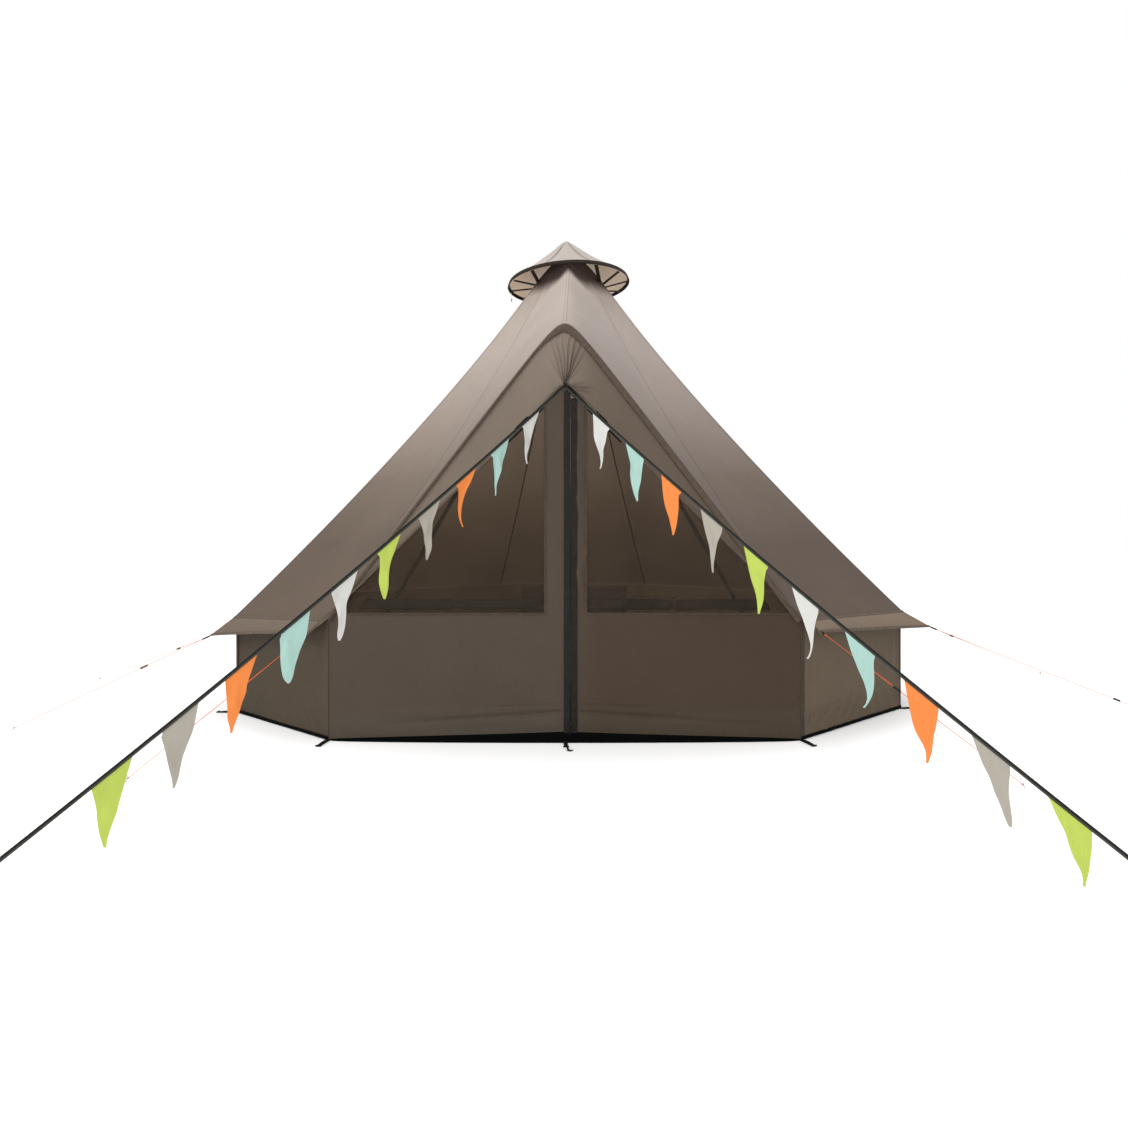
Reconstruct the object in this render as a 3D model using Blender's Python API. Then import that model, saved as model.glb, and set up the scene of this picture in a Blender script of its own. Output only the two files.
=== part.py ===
# A pyramid tent with an A-frame entrance: fabric roof panels round a centre pole, low walls on a
# sewn-in groundsheet, a vent cap, an eave skirt pulled out by guy lines, and two bunting straps.
# Metres, +Z up, entrance facing -Y, origin on the ground under the centre pole.

import math

import bmesh
import bpy
from mathutils import Matrix, Vector

# Footprint: an octagon whose front side is set back, which makes it wider
CORNER_RADIUS = 2.2
FRONT_HALF_WIDTH = 1.223
FRONT_DEPTH = 1.489
BACK_HALF_WIDTH = 0.728
EAVE_HEIGHT = 0.579
FRONT_EAVE_HEIGHT = 0.628
CROWN_HEIGHT = 3.045
CROWN_RADIUS = 0.09
CROWN_SEGMENTS = 32

# Fabric
CLOTH = 0.004
ROOF_DROP = 0.006
GAP = 0.0004
RIDGE_SAG = 0.06
PANEL_SAG = 0.05
ROOF_ROWS = 8
PANEL_COLUMNS = 4

# Entrance
PORCH_HEIGHT = 2.152
PORCH_BEND = 0.06
PORCH_STEPS = [0, 0.03, 0.07, 0.12, 0.25, 0.55, 0.9]
DOOR_PEAK = 1.836
GABLE_HALF_WIDTH = 1.165
FRONT_TIP = Vector((1.316, 1.54, 0.546))
DOOR_SILL_RISE = 0.045
DOOR_WAIST = 0.659
DOOR_DEPTH = 1.483
MESH_OVERLAP = 0.02
ZIP_BAND_CENTRE = 0.03
ZIP_BAND_HALF_WIDTH = 0.034
CURTAIN_SPAN = (0.1, 1.07)
CURTAIN_HEIGHT = 0.7
CURTAIN_RADIUS = 0.033

# Back window
WINDOW_HALF_WIDTH = 0.53
WINDOW_BOTTOM = 0.24
WINDOW_TOP = 0.545

# Eave skirt
SKIRT_CORNER_REACH = 0.13
SKIRT_CORNER_DROP = 0.115
SKIRT_SIDE_REACH = 0.07
SKIRT_SIDE_DROP = 0.085
SKIRT_COLUMNS = 8

# Groundsheet
SHEET_THICKNESS = 0.004
LOOP_REACH = 0.12
LOOP_HALF_WIDTH = 0.01

# Poles
POLE_RADIUS = 0.016
POLE_LEAN = 0.025
SPIKE_RADIUS = 0.006
SPIKE_LENGTH = 0.02
FRAME_RADIUS = 0.011
FRAME_FOOT = Vector((1.33, -1.26, 0))
FRAME_TOP = 2.14
FRAME_TOP_DEPTH = 1.455
FRAME_BEND = 0.07
FRAME_JOIN = 0.012

# Vent cap, tipped with its right side up
CAP_HEIGHT = 3.197
CAP_RADIUS = 0.429
CAP_DEPTH = 0.302
CAP_TOP_SLOPE = 0.97
CAP_TILT = math.radians(3.4)
CAP_THICKNESS = 0.005
CAP_SEGMENTS = 32
RIM_RADIUS = 0.007
STAY_COUNT = 8
STAY_HALF_WIDTH = 0.011
STAY_THICKNESS = 0.002
HUB_RADII = (0.024, 0.045)
CORD_TURN = math.radians(171)
CORD_LENGTH = 0.04
CORD_RADIUS = 0.0015
CORD_END_RADIUS = 0.003
CORD_END_LENGTH = 0.025

# Bunting straps
STRAP_WIDTH = 0.016
STRAP_THICKNESS = 0.002
STRAP_TOP = 1.838
STRAP_SAG = 0.015
STRAP_PEGS = {"left": Vector((-1.697, -3.24, 0)), "right": Vector((1.781, -3.24, 0))}
PEG_STAND = 0.04
PEG_WIDTH = 0.012
FLAG_COUNT = 10
FLAG_SHARES = {"left": (0.093, 0.0813), "right": (0.103, 0.0858)}
FLAG_HALF_WIDTH = 0.07
FLAG_DROP = 0.232
FLAG_CLEARANCE = 0.005

# Guy lines
GUY_RADIUS = 0.0025
RUNNER_RADIUS = 0.007
RUNNER_LENGTH = 0.045
PEG_RADIUS = 0.005
GUY_BEND = 0.008
# Each guy's corner, and for each of its lines the peg and the runner's place along it
GUYS = {
    "front_left": (0, [(-1.87, -2.11, 0.41)]),
    "side_left": (1, [(-3.0, -1.3, 0.33), (-3.44, 0.06, 0.2)]),
    "rear_left": (2, [(-2.75, 1.95, 0.35)]),
    "back_left": (3, [(-1.14, 3.03, 0.35)]),
    "back_right": (4, [(1.14, 3.03, 0.35)]),
    "rear_right": (5, [(2.75, 1.95, 0.35)]),
    "side_right": (6, [(3.46, -0.88, 0.88), (3.59, 0.28, 0.12)]),
    "front_right": (7, [(1.94, -2.19, 0.41)]),
}

HALF_WIDTH = CORNER_RADIUS * math.cos(math.radians(22.5))
SIDE_DEPTH = CORNER_RADIUS * math.sin(math.radians(22.5))

# Corners from the front left, clockwise seen from above, each with its eave height
CORNERS = [
    Vector((-FRONT_HALF_WIDTH, -FRONT_DEPTH, FRONT_EAVE_HEIGHT)),
    Vector((-HALF_WIDTH, -SIDE_DEPTH, EAVE_HEIGHT)),
    Vector((-HALF_WIDTH, SIDE_DEPTH, EAVE_HEIGHT)),
    Vector((-BACK_HALF_WIDTH, HALF_WIDTH, EAVE_HEIGHT)),
    Vector((BACK_HALF_WIDTH, HALF_WIDTH, EAVE_HEIGHT)),
    Vector((HALF_WIDTH, SIDE_DEPTH, EAVE_HEIGHT)),
    Vector((HALF_WIDTH, -SIDE_DEPTH, EAVE_HEIGHT)),
    Vector((FRONT_HALF_WIDTH, -FRONT_DEPTH, FRONT_EAVE_HEIGHT)),
]
PORCH_RUN = math.hypot(FRONT_HALF_WIDTH, PORCH_BEND) - PORCH_BEND
PORCH_SLOPE = (PORCH_HEIGHT - FRONT_EAVE_HEIGHT) / PORCH_RUN
SIDES = ["front_left", "left", "back_left", "back", "back_right", "right", "front_right"]


def flat(point, height=0.0):
    return Vector((point.x, point.y, height))


def material(name, color, roughness, metallic=0.0):
    made = bpy.data.materials.new(name)
    made.use_nodes = True
    shader = made.node_tree.nodes["Principled BSDF"]
    shader.inputs["Base Color"].default_value = (*color, 1)
    shader.inputs["Roughness"].default_value = roughness
    shader.inputs["Metallic"].default_value = metallic
    return made


def add_object(name, points, faces, finish, smooth=False):
    mesh = bpy.data.meshes.new(name)
    mesh.from_pydata([tuple(point) for point in points], [], faces)
    body = bmesh.new()
    body.from_mesh(mesh)
    bmesh.ops.recalc_face_normals(body, faces=body.faces)
    body.to_mesh(mesh)
    body.free()
    if smooth:
        mesh.shade_smooth()
        mesh.set_sharp_from_angle(angle=math.radians(35))
    mesh.materials.append(finish)
    made = bpy.data.objects.new(name, mesh)
    bpy.context.scene.collection.objects.link(made)
    return made


# A sheet's faces, the same faces moved by shift, and side faces round every open edge
def add_sheet(name, points, faces, shift, finish):
    shifts = shift if isinstance(shift, list) else [shift] * len(points)
    count = len(points)
    lower = [point + move for point, move in zip(points, shifts)]
    edges = {}
    for face in faces:
        for start, end in zip(face, face[1:] + face[:1]):
            edges[(start, end)] = True
    sides = [
        (start, end, end + count, start + count)
        for start, end in edges
        if (end, start) not in edges
    ]
    under = [tuple(index + count for index in reversed(face)) for face in faces]
    return add_object(name, list(points) + lower, list(faces) + under + sides, finish)


# Triangles, because a twisted four-sided face could be split one way above and the other below
def grid_faces(rows, columns):
    faces = []
    for row in range(rows - 1):
        for column in range(columns - 1):
            corner = row * columns + column
            faces.append((corner, corner + 1, corner + columns + 1))
            faces.append((corner, corner + columns + 1, corner + columns))
    return faces


# A round tube along points, with a radius for each, and flat ends
def add_tube(name, points, radii, finish, sides=8, smooth=True):
    rings = []
    across = None
    for index, point in enumerate(points):
        before = points[max(index - 1, 0)]
        after = points[min(index + 1, len(points) - 1)]
        along = (after - before).normalized()
        if across is None:
            across = along.orthogonal().normalized()
        across = (across - along * across.dot(along)).normalized()
        up = along.cross(across)
        for side in range(sides):
            angle = 2 * math.pi * side / sides
            offset = across * math.cos(angle) + up * math.sin(angle)
            rings.append(point + offset * radii[index])
    faces = []
    for ring in range(len(points) - 1):
        for side in range(sides):
            following = (side + 1) % sides
            low, high = ring * sides, (ring + 1) * sides
            faces.append((low + side, low + following, high + following, high + side))
    last = (len(points) - 1) * sides
    faces.append(tuple(range(sides)))
    faces.append(tuple(last + side for side in range(sides)))
    return add_object(name, rings, faces, finish, smooth)


# Height of the roof's front edge, which follows the rounded top of the A-frame
def porch_edge(x):
    return PORCH_HEIGHT - PORCH_SLOPE * (math.hypot(x, PORCH_BEND) - PORCH_BEND)


# Height of the door opening's edge, which is straight from its peak to the skirt's front tips
def door_edge(x):
    return DOOR_PEAK - (DOOR_PEAK - FRONT_TIP.z) * abs(x) / FRONT_TIP.x


# A point of the roof on the line from the crown to a point of its lower edge
def roof_point(foot, share, bow):
    outward = flat(foot).normalized()
    top = outward * CROWN_RADIUS + Vector((0, 0, CROWN_HEIGHT))
    down = (foot - top).normalized()
    sag_way = (down * outward.dot(down) - outward).normalized()
    return top.lerp(foot, share) + sag_way * (RIDGE_SAG + bow) * 4 * share * (1 - share)


# Feet are the points of a roof panel's lower edge, from one seam to the next
def add_roof_panel(name, feet, bows, finish):
    points = []
    for row in range(ROOF_ROWS + 1):
        share = row / ROOF_ROWS
        line = [roof_point(foot, share, bow) for foot, bow in zip(feet, bows)]
        for end, near in ((0, 1), (-1, -2)):
            line[end] = line[end] + (line[near] - line[end]).normalized() * GAP
        points += line
    return add_sheet(name, points, grid_faces(ROOF_ROWS + 1, len(feet)), Vector((0, 0, -ROOF_DROP)), finish)


def add_roof(finish):
    for index in range(1, 6):
        start, end = CORNERS[index], CORNERS[index + 1]
        shares = [column / PANEL_COLUMNS for column in range(PANEL_COLUMNS + 1)]
        feet = [start.lerp(end, share) for share in shares]
        bows = [PANEL_SAG * math.sin(math.pi * share) for share in shares]
        add_roof_panel("roof_" + SIDES[index], feet, bows, finish)
    for side, sign in (("left", -1), ("right", 1)):
        feet = [Vector((sign * x, -FRONT_DEPTH, porch_edge(x))) for x in PORCH_STEPS]
        bows = [-RIDGE_SAG * (1 - x / FRONT_HALF_WIDTH) for x in PORCH_STEPS]
        corner, end = (CORNERS[0], CORNERS[1]) if sign < 0 else (CORNERS[7], CORNERS[6])
        shares = [column / PANEL_COLUMNS for column in range(PANEL_COLUMNS + 1)]
        feet += [corner.lerp(end, share) for share in shares]
        bows += [0.5 * PANEL_SAG * math.sin(math.pi * share) for share in shares]
        add_roof_panel("roof_front_" + side, feet, bows, finish)


# The centre pole's axis, which leans a little to the left
def pole_axis(height):
    return Vector((-POLE_LEAN * height / CAP_HEIGHT, 0, height))


# A stiff patch round the pole, which the roof panels hang from
def add_crown(finish):
    turns = [2 * math.pi * step / CROWN_SEGMENTS for step in range(CROWN_SEGMENTS)]
    ways = [Vector((math.cos(turn), math.sin(turn), 0)) for turn in turns]
    points = [pole_axis(CROWN_HEIGHT) + way * (POLE_RADIUS + GAP) for way in ways]
    points += [flat(way * (CROWN_RADIUS - 2 * GAP), CROWN_HEIGHT) for way in ways]
    faces = []
    for step in range(CROWN_SEGMENTS):
        following = (step + 1) % CROWN_SEGMENTS
        faces.append((step, following, CROWN_SEGMENTS + following, CROWN_SEGMENTS + step))
    add_sheet("crown_patch", points, faces, Vector((0, 0, -ROOF_DROP)), finish)


def skirt_tip(index):
    corner = CORNERS[index]
    if index in (0, 7):
        return Vector((math.copysign(FRONT_TIP.x, corner.x), -FRONT_TIP.y, FRONT_TIP.z))
    outward = flat(corner).normalized()
    return corner + outward * SKIRT_CORNER_REACH - Vector((0, 0, SKIRT_CORNER_DROP))


def add_skirts(finish):
    for index, side in enumerate(SIDES):
        start, end = CORNERS[index], CORNERS[index + 1]
        first, last = skirt_tip(index), skirt_tip(index + 1)
        along = (end - start).normalized()
        outward = Vector((-along.y, along.x, 0)).normalized()
        middle = start.lerp(end, 0.5) + outward * SKIRT_SIDE_REACH - Vector((0, 0, SKIRT_SIDE_DROP))
        bulge = middle - first.lerp(last, 0.5)
        upper, lower = [], []
        for column in range(SKIRT_COLUMNS + 1):
            share = column / SKIRT_COLUMNS
            upper.append(start.lerp(end, share) + outward * GAP)
            lower.append(first.lerp(last, share) + bulge * (1 - (2 * share - 1) ** 4))
        for line in (upper, lower):
            line[0] = line[0] + along * GAP
            line[-1] = line[-1] - along * GAP
        columns = SKIRT_COLUMNS + 1
        add_sheet("skirt_" + side, upper + lower, grid_faces(2, columns), Vector((0, 0, -CLOTH)), finish)


# Where the inner faces of the two walls at a corner meet
def inner_corner(index, thickness):
    corner = flat(CORNERS[index])
    before = (corner - flat(CORNERS[(index - 1) % 8])).normalized()
    after = (flat(CORNERS[(index + 1) % 8]) - corner).normalized()
    inward = (after - before).normalized()
    return corner + inward * thickness / inward.dot(Vector((after.y, -after.x, 0)))


def wall_frame(index):
    start, end = CORNERS[index], CORNERS[index + 1]
    along = flat(end - start).normalized()
    return start, end, along


def add_plain_wall(index, finish):
    start, end, along = wall_frame(index)
    outer = [flat(start) + along * GAP, flat(end) - along * GAP]
    inner = [inner_corner(index, CLOTH) + along * GAP, inner_corner(index + 1, CLOTH) - along * GAP]
    low = SHEET_THICKNESS + GAP
    heights = [start.z - ROOF_DROP - GAP, end.z - ROOF_DROP - GAP]
    points = [flat(point, low) for point in outer]
    points += [flat(outer[1], heights[1]), flat(outer[0], heights[0])]
    shifts = [inner[0] - outer[0], inner[1] - outer[1], inner[1] - outer[1], inner[0] - outer[0]]
    add_sheet("wall_" + SIDES[index], points, [(0, 1, 2, 3)], shifts, finish)


def add_back_wall(index, finish, film):
    start, end, along = wall_frame(index)
    ends = [start.x + GAP, -WINDOW_HALF_WIDTH, WINDOW_HALF_WIDTH, end.x - GAP]
    levels = [SHEET_THICKNESS + GAP, WINDOW_BOTTOM, WINDOW_TOP, EAVE_HEIGHT - ROOF_DROP - GAP]
    points = [Vector((x, HALF_WIDTH, z)) for z in levels for x in ends]
    middle = 8
    faces = grid_faces(4, 4)
    faces = faces[:middle] + faces[middle + 2 :]
    slant = inner_corner(index, CLOTH) - flat(start)
    shifts = []
    for point in points:
        sideways = 0 if abs(point.x) <= WINDOW_HALF_WIDTH else math.copysign(slant.x, -point.x)
        shifts.append(Vector((sideways, -CLOTH, 0)))
    add_sheet("wall_back", points, faces, shifts, finish)
    half = WINDOW_HALF_WIDTH - GAP
    pane = [
        Vector((x, HALF_WIDTH - CLOTH / 4, z))
        for x, z in (
            (-half, WINDOW_BOTTOM + GAP),
            (half, WINDOW_BOTTOM + GAP),
            (half, WINDOW_TOP - GAP),
            (-half, WINDOW_TOP - GAP),
        )
    ]
    add_sheet("window_back", pane, [(0, 1, 2, 3)], Vector((0, -CLOTH / 2, 0)), film)


# Peg loops lie on the ground at every corner and at the middle of the front
def add_groundsheet(finish):
    outline = []
    for index in range(8):
        corner = flat(CORNERS[index])
        outward = corner.normalized()
        across = Vector((outward.y, -outward.x, 0)) * LOOP_HALF_WIDTH
        root = corner - outward * LOOP_HALF_WIDTH
        outline += [root - across, root - across + outward * LOOP_REACH]
        outline += [root + across + outward * LOOP_REACH, root + across]
    front = -FRONT_DEPTH
    for x, y in ((1, 0), (1, -LOOP_REACH / 2), (-1, -LOOP_REACH / 2), (-1, 0)):
        outline.append(Vector((x * LOOP_HALF_WIDTH, front + y, 0)))
    top = [flat(point, SHEET_THICKNESS) for point in outline]
    face = [tuple(range(len(top)))]
    add_sheet("groundsheet", top, face, Vector((0, 0, -SHEET_THICKNESS)), finish)
    inset = FRONT_HALF_WIDTH - 2 * CLOTH
    low, high = SHEET_THICKNESS + GAP, DOOR_SILL_RISE + 2 * CLOTH
    depth = -DOOR_DEPTH + CLOTH + GAP
    sill = [
        Vector((x, depth, z)) for x, z in ((-inset, low), (inset, low), (inset, high), (-inset, high))
    ]
    add_sheet("front_sill", sill, [(0, 1, 2, 3)], Vector((0, CLOTH / 2, 0)), finish)


# Panels that stand in the front plane, given as (x, z) outlines
def add_front_panel(name, outline, depth, thickness, finish):
    points = [Vector((x, -depth, z)) for x, z in outline]
    return add_sheet(name, points, [tuple(range(len(points)))], Vector((0, thickness, 0)), finish)


def add_gables(finish):
    widths = PORCH_STEPS + [GABLE_HALF_WIDTH]
    for side, sign in (("left", -1), ("right", 1)):
        upper = [(sign * max(x, GAP), porch_edge(x) - ROOF_DROP - 3 * GAP) for x in widths]
        lower = [(sign * GABLE_HALF_WIDTH, door_edge(GABLE_HALF_WIDTH)), (sign * GAP, DOOR_PEAK)]
        add_front_panel("gable_" + side, upper + lower, FRONT_DEPTH, CLOTH, finish)


def add_door(finish, mesh, trim):
    half = ZIP_BAND_HALF_WIDTH
    corner = FRONT_HALF_WIDTH - CLOTH
    seam = DOOR_WAIST + GAP
    low = SHEET_THICKNESS + GAP
    edge = porch_edge(corner) - ROOF_DROP - 3 * GAP
    turn = corner - (DOOR_WAIST - edge) / PORCH_SLOPE
    for side, sign in (("left", -1), ("right", 1)):
        lower = [(GAP, DOOR_SILL_RISE), (corner, low), (corner, edge), (turn, DOOR_WAIST), (GAP, DOOR_WAIST)]
        lower = [(sign * x, z) for x, z in lower]
        add_front_panel("door_" + side, lower, DOOR_DEPTH, CLOTH, finish)
        upper = [(sign * GAP, seam), (sign * (turn - GAP), seam), (sign * GAP, DOOR_PEAK + MESH_OVERLAP)]
        add_front_panel("door_mesh_" + side, upper, DOOR_DEPTH, CLOTH / 2, mesh)
        depth = -DOOR_DEPTH + CLOTH / 2 + GAP + CURTAIN_RADIUS
        ends = [Vector((sign * x, depth, CURTAIN_HEIGHT)) for x in CURTAIN_SPAN]
        add_tube("rolled_curtain_" + side, ends, [CURTAIN_RADIUS] * 2, trim)
    left, right = ZIP_BAND_CENTRE - half, ZIP_BAND_CENTRE + half
    band = [(left, DOOR_SILL_RISE - CLOTH), (right, DOOR_SILL_RISE - CLOTH)]
    band += [(x, door_edge(x) - 2 * CLOTH) for x in (right, 0, left)]
    thickness = FRONT_DEPTH - DOOR_DEPTH - GAP
    add_front_panel("zip_band", band, FRONT_DEPTH, thickness, trim)


# One bent leg of the A-frame, from its foot to the middle of the rounded top
def add_frame_leg(side, sign, finish):
    points = []
    fall = FRAME_TOP - SHEET_THICKNESS
    slope = fall / (math.hypot(FRAME_FOOT.x, FRAME_BEND) - FRAME_BEND)
    for x in (GAP, FRAME_JOIN, 0.03, 0.06, 0.1, 0.16, 0.3, FRAME_FOOT.x):
        turned = max(x - FRAME_JOIN, 0)
        height = FRAME_TOP - slope * (math.hypot(turned, FRAME_BEND) - FRAME_BEND)
        share = (FRAME_TOP - height) / fall
        depth = -FRAME_TOP_DEPTH + (FRAME_FOOT.y + FRAME_TOP_DEPTH) * share
        points.append(Vector((sign * x, depth, height)))
    lean = (points[-1] - points[-2]).normalized()
    points[-1].z = SHEET_THICKNESS + GAP + FRAME_RADIUS * math.sqrt(1 - lean.z**2)
    add_tube("a_frame_" + side, points, [FRAME_RADIUS] * len(points), finish, 10)


def add_centre_pole(finish):
    inner_peak = CAP_HEIGHT - CAP_THICKNESS
    top = inner_peak - SPIKE_RADIUS * (CAP_TOP_SLOPE + math.tan(CAP_TILT)) - GAP
    heights = [SHEET_THICKNESS + GAP, top - SPIKE_LENGTH, top - SPIKE_LENGTH, top]
    points = [pole_axis(height) for height in heights]
    points[2].z += GAP
    add_tube("centre_pole", points, [POLE_RADIUS, POLE_RADIUS, SPIKE_RADIUS, SPIKE_RADIUS], finish, 16)


# Height of the cap's outer surface below its peak
def cap_fall(radius):
    flare = (CAP_TOP_SLOPE * CAP_RADIUS - CAP_DEPTH) / CAP_RADIUS**2
    return CAP_TOP_SLOPE * radius - flare * radius**2


# Sets the cap, which is made round the Z axis, tipped on top of the pole
def cap_tip():
    peak = Matrix.Translation(pole_axis(CAP_HEIGHT))
    return peak @ Matrix.Rotation(-CAP_TILT, 4, "Y") @ Matrix.Translation((0, 0, -CAP_HEIGHT))


def cap_ring(radius, drop):
    height = CAP_HEIGHT - cap_fall(radius) - drop
    turns = [2 * math.pi * step / CAP_SEGMENTS for step in range(CAP_SEGMENTS)]
    return [Vector((radius * math.cos(turn), radius * math.sin(turn), height)) for turn in turns]


def add_cap(cloth, trim):
    radii = [CAP_RADIUS * share for share in (0.12, 0.35, 0.65, 1)]
    points = [Vector((0, 0, CAP_HEIGHT))]
    for radius in radii:
        points += cap_ring(radius, 0)
    faces = []
    for step in range(CAP_SEGMENTS):
        following = (step + 1) % CAP_SEGMENTS
        faces.append((0, 1 + step, 1 + following))
        for ring in range(len(radii) - 1):
            low, high = 1 + ring * CAP_SEGMENTS, 1 + (ring + 1) * CAP_SEGMENTS
            faces.append((low + step, high + step, high + following, low + following))
    cone = add_sheet("cap_cone", points, faces, Vector((0, 0, -CAP_THICKNESS)), cloth)
    rim_points = [
        point - Vector((0, 0, RIM_RADIUS)) for point in cap_ring(CAP_RADIUS, CAP_THICKNESS + GAP)
    ]
    rim = add_ring("cap_rim", rim_points, RIM_RADIUS, trim)
    stays = add_stays(trim)
    for made in (cone, rim, stays):
        made.data.transform(cap_tip())


# A closed tube through a ring of points
def add_ring(name, centres, radius, finish, sides=6):
    points, faces = [], []
    for centre in centres:
        outward = flat(centre).normalized()
        for side in range(sides):
            turn = 2 * math.pi * side / sides + math.pi / 2
            points.append(centre + outward * radius * math.cos(turn) + Vector((0, 0, radius * math.sin(turn))))
    count = len(centres)
    for ring in range(count):
        low, high = ring * sides, (ring + 1) % count * sides
        for side in range(sides):
            following = (side + 1) % sides
            faces.append((low + side, low + following, high + following, high + side))
    return add_object(name, points, faces, finish, True)


# Eight tapes that run under the cap from a hub round the pole to the rim
def add_stays(finish):
    points, faces = [], []
    facet = math.tan(math.pi / CAP_SEGMENTS)
    drop = CAP_THICKNESS + STAY_HALF_WIDTH * facet * CAP_TOP_SLOPE + 2 * GAP
    inner, outer = HUB_RADII
    radii = [outer] + [CAP_RADIUS * share for share in (0.35, 0.65)] + [CAP_RADIUS - 2 * RIM_RADIUS]
    ring_size = 2 * STAY_COUNT
    for radius, raised in ((inner, outer), (outer, outer)):
        height = CAP_HEIGHT - cap_fall(raised) - drop
        half = math.asin(STAY_HALF_WIDTH / outer)
        for stay in range(STAY_COUNT):
            for lean in (-half, half):
                turn = 2 * math.pi * stay / STAY_COUNT + lean
                points.append(Vector((radius * math.cos(turn), radius * math.sin(turn), height)))
    for step in range(ring_size):
        following = (step + 1) % ring_size
        faces.append((step, following, ring_size + following, ring_size + step))
    for stay in range(STAY_COUNT):
        turn = 2 * math.pi * stay / STAY_COUNT
        outward = Vector((math.cos(turn), math.sin(turn), 0))
        across = Vector((-outward.y, outward.x, 0)) * STAY_HALF_WIDTH
        edge = (ring_size + 2 * stay, ring_size + 2 * stay + 1)
        for radius in radii[1:]:
            height = CAP_HEIGHT - cap_fall(radius) - drop
            first = len(points)
            points += [flat(outward * radius - across, height), flat(outward * radius + across, height)]
            faces.append((edge[1], first + 1, first, edge[0]))
            edge = (first, first + 1)
    return add_sheet("cap_stays", points, faces, Vector((0, 0, -STAY_THICKNESS)), finish)


# A short loose cord under the cap's left edge, with a sleeve on its end
def add_cap_cord(finish, trim):
    fall = cap_fall(CAP_RADIUS) + CAP_THICKNESS + 2 * RIM_RADIUS + GAP
    reach = Vector((math.cos(CORD_TURN), math.sin(CORD_TURN), 0)) * CAP_RADIUS
    top = cap_tip() @ flat(reach, CAP_HEIGHT - fall)
    top.z -= GAP
    steps = 12
    route = bpy.data.curves.new("cap_cord", "CURVE")
    route.dimensions = "3D"
    route.bevel_depth = CORD_RADIUS
    route.bevel_resolution = 2
    route.use_fill_caps = True
    line = route.splines.new("POLY")
    line.points.add(steps)
    for step in range(steps + 1):
        share = step / steps
        line.points[step].co = (top.x + 0.004 * share**2, top.y, top.z - CORD_LENGTH * share, 1)
    route.materials.append(finish)
    cord = bpy.data.objects.new("cap_cord", route)
    bpy.context.scene.collection.objects.link(cord)
    end = Vector((top.x + 0.004, top.y, top.z - CORD_LENGTH - GAP))
    tail = end - Vector((0, 0, CORD_END_LENGTH))
    add_tube("cord_sleeve", [end, tail], [CORD_END_RADIUS] * 2, trim)


# A strap in its own upright plane, with its peg and the pennants sewn along its lower edge
def add_bunting(side, sign, finish):
    start = Vector((sign * 0.004, -FRONT_DEPTH - STRAP_THICKNESS / 2 - GAP, STRAP_TOP))
    peg = STRAP_PEGS[side]
    run = flat(peg - start)
    length = run.length
    along = run.normalized()
    across = Vector((-along.y, along.x, 0)) * STRAP_THICKNESS / 2
    half = STRAP_WIDTH / 2 / math.cos(math.atan2(STRAP_TOP - PEG_STAND, length))

    def centre(share):
        height = STRAP_TOP + (PEG_STAND - STRAP_TOP) * share - STRAP_SAG * 4 * share * (1 - share)
        return length * share, height

    upper = [centre(step / 20) for step in range(21)]
    outline = [(reach, height + half) for reach, height in upper]
    reach, height = upper[-1]
    outline += [(reach, 0), (reach - PEG_WIDTH, 0), (reach - PEG_WIDTH, height - half)]
    slant = math.hypot(length, STRAP_TOP - PEG_STAND)
    first, step = FLAG_SHARES[side]
    for flag in reversed(range(FLAG_COUNT)):
        middle = first + step * flag
        width = FLAG_HALF_WIDTH / slant
        for share, drop in ((middle + width, 0), (middle, FLAG_DROP), (middle - width, 0)):
            reach, height = centre(share)
            lowest = height - half - FLAG_CLEARANCE
            outline.append((reach, height - half - min(drop, lowest)))
    outline.append((0, STRAP_TOP - half))
    points = [flat(start) + along * reach + Vector((0, 0, height)) + across for reach, height in outline]
    add_sheet("bunting_" + side, points, [tuple(range(len(points)))], -2 * across, finish)


# Points and radii of a taut line from start to a peg, with its runner and the peg's upper part
def guy_line(start, peg, runner_at):
    outward = flat(peg - start).normalized()
    neck = peg - outward * PEG_STAND * 0.5 + Vector((0, 0, PEG_STAND))
    line = neck - start
    half = RUNNER_LENGTH / 2 / line.length
    shares = [GUY_BEND / line.length, runner_at - half, runner_at - half * 0.9]
    shares += [runner_at + half * 0.9, runner_at + half, 1]
    points = [start + line * share for share in shares]
    points += [peg - outward * 0.012 + Vector((0, 0, 0.03)), peg + Vector((0, 0, PEG_RADIUS))]
    line_radii = [GUY_RADIUS] * 2 + [RUNNER_RADIUS] * 2 + [GUY_RADIUS] * 2
    return points, line_radii + [PEG_RADIUS] * 2


# One or two taut lines from a skirt tip, with their pegs, in one piece
def add_guy(name, corner, lines, finish):
    tip = skirt_tip(corner)
    outward = sum((flat(Vector((x, y, 0)) - tip).normalized() for x, y, _ in lines), Vector()).normalized()
    x, y, _ = lines[0]
    # A single line ends in a disc square to it, and a pair in one that stands upright at their bend
    lean = (tip - Vector((x, y, PEG_STAND))).normalized().z if len(lines) == 1 else 1
    start = tip + outward * (GUY_RADIUS * lean + GAP) - Vector((0, 0, CLOTH / 2))
    points, radii = [start], [GUY_RADIUS]
    for x, y, runner_at in lines:
        line_points, line_radii = guy_line(start, Vector((x, y, 0)), runner_at)
        points = list(reversed(points)) + line_points
        radii = list(reversed(radii)) + line_radii
    add_tube("guy_" + name, points, radii, finish, 6)


def add_guys(finish):
    for name, (corner, lines) in GUYS.items():
        add_guy(name, corner, lines, finish)


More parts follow.
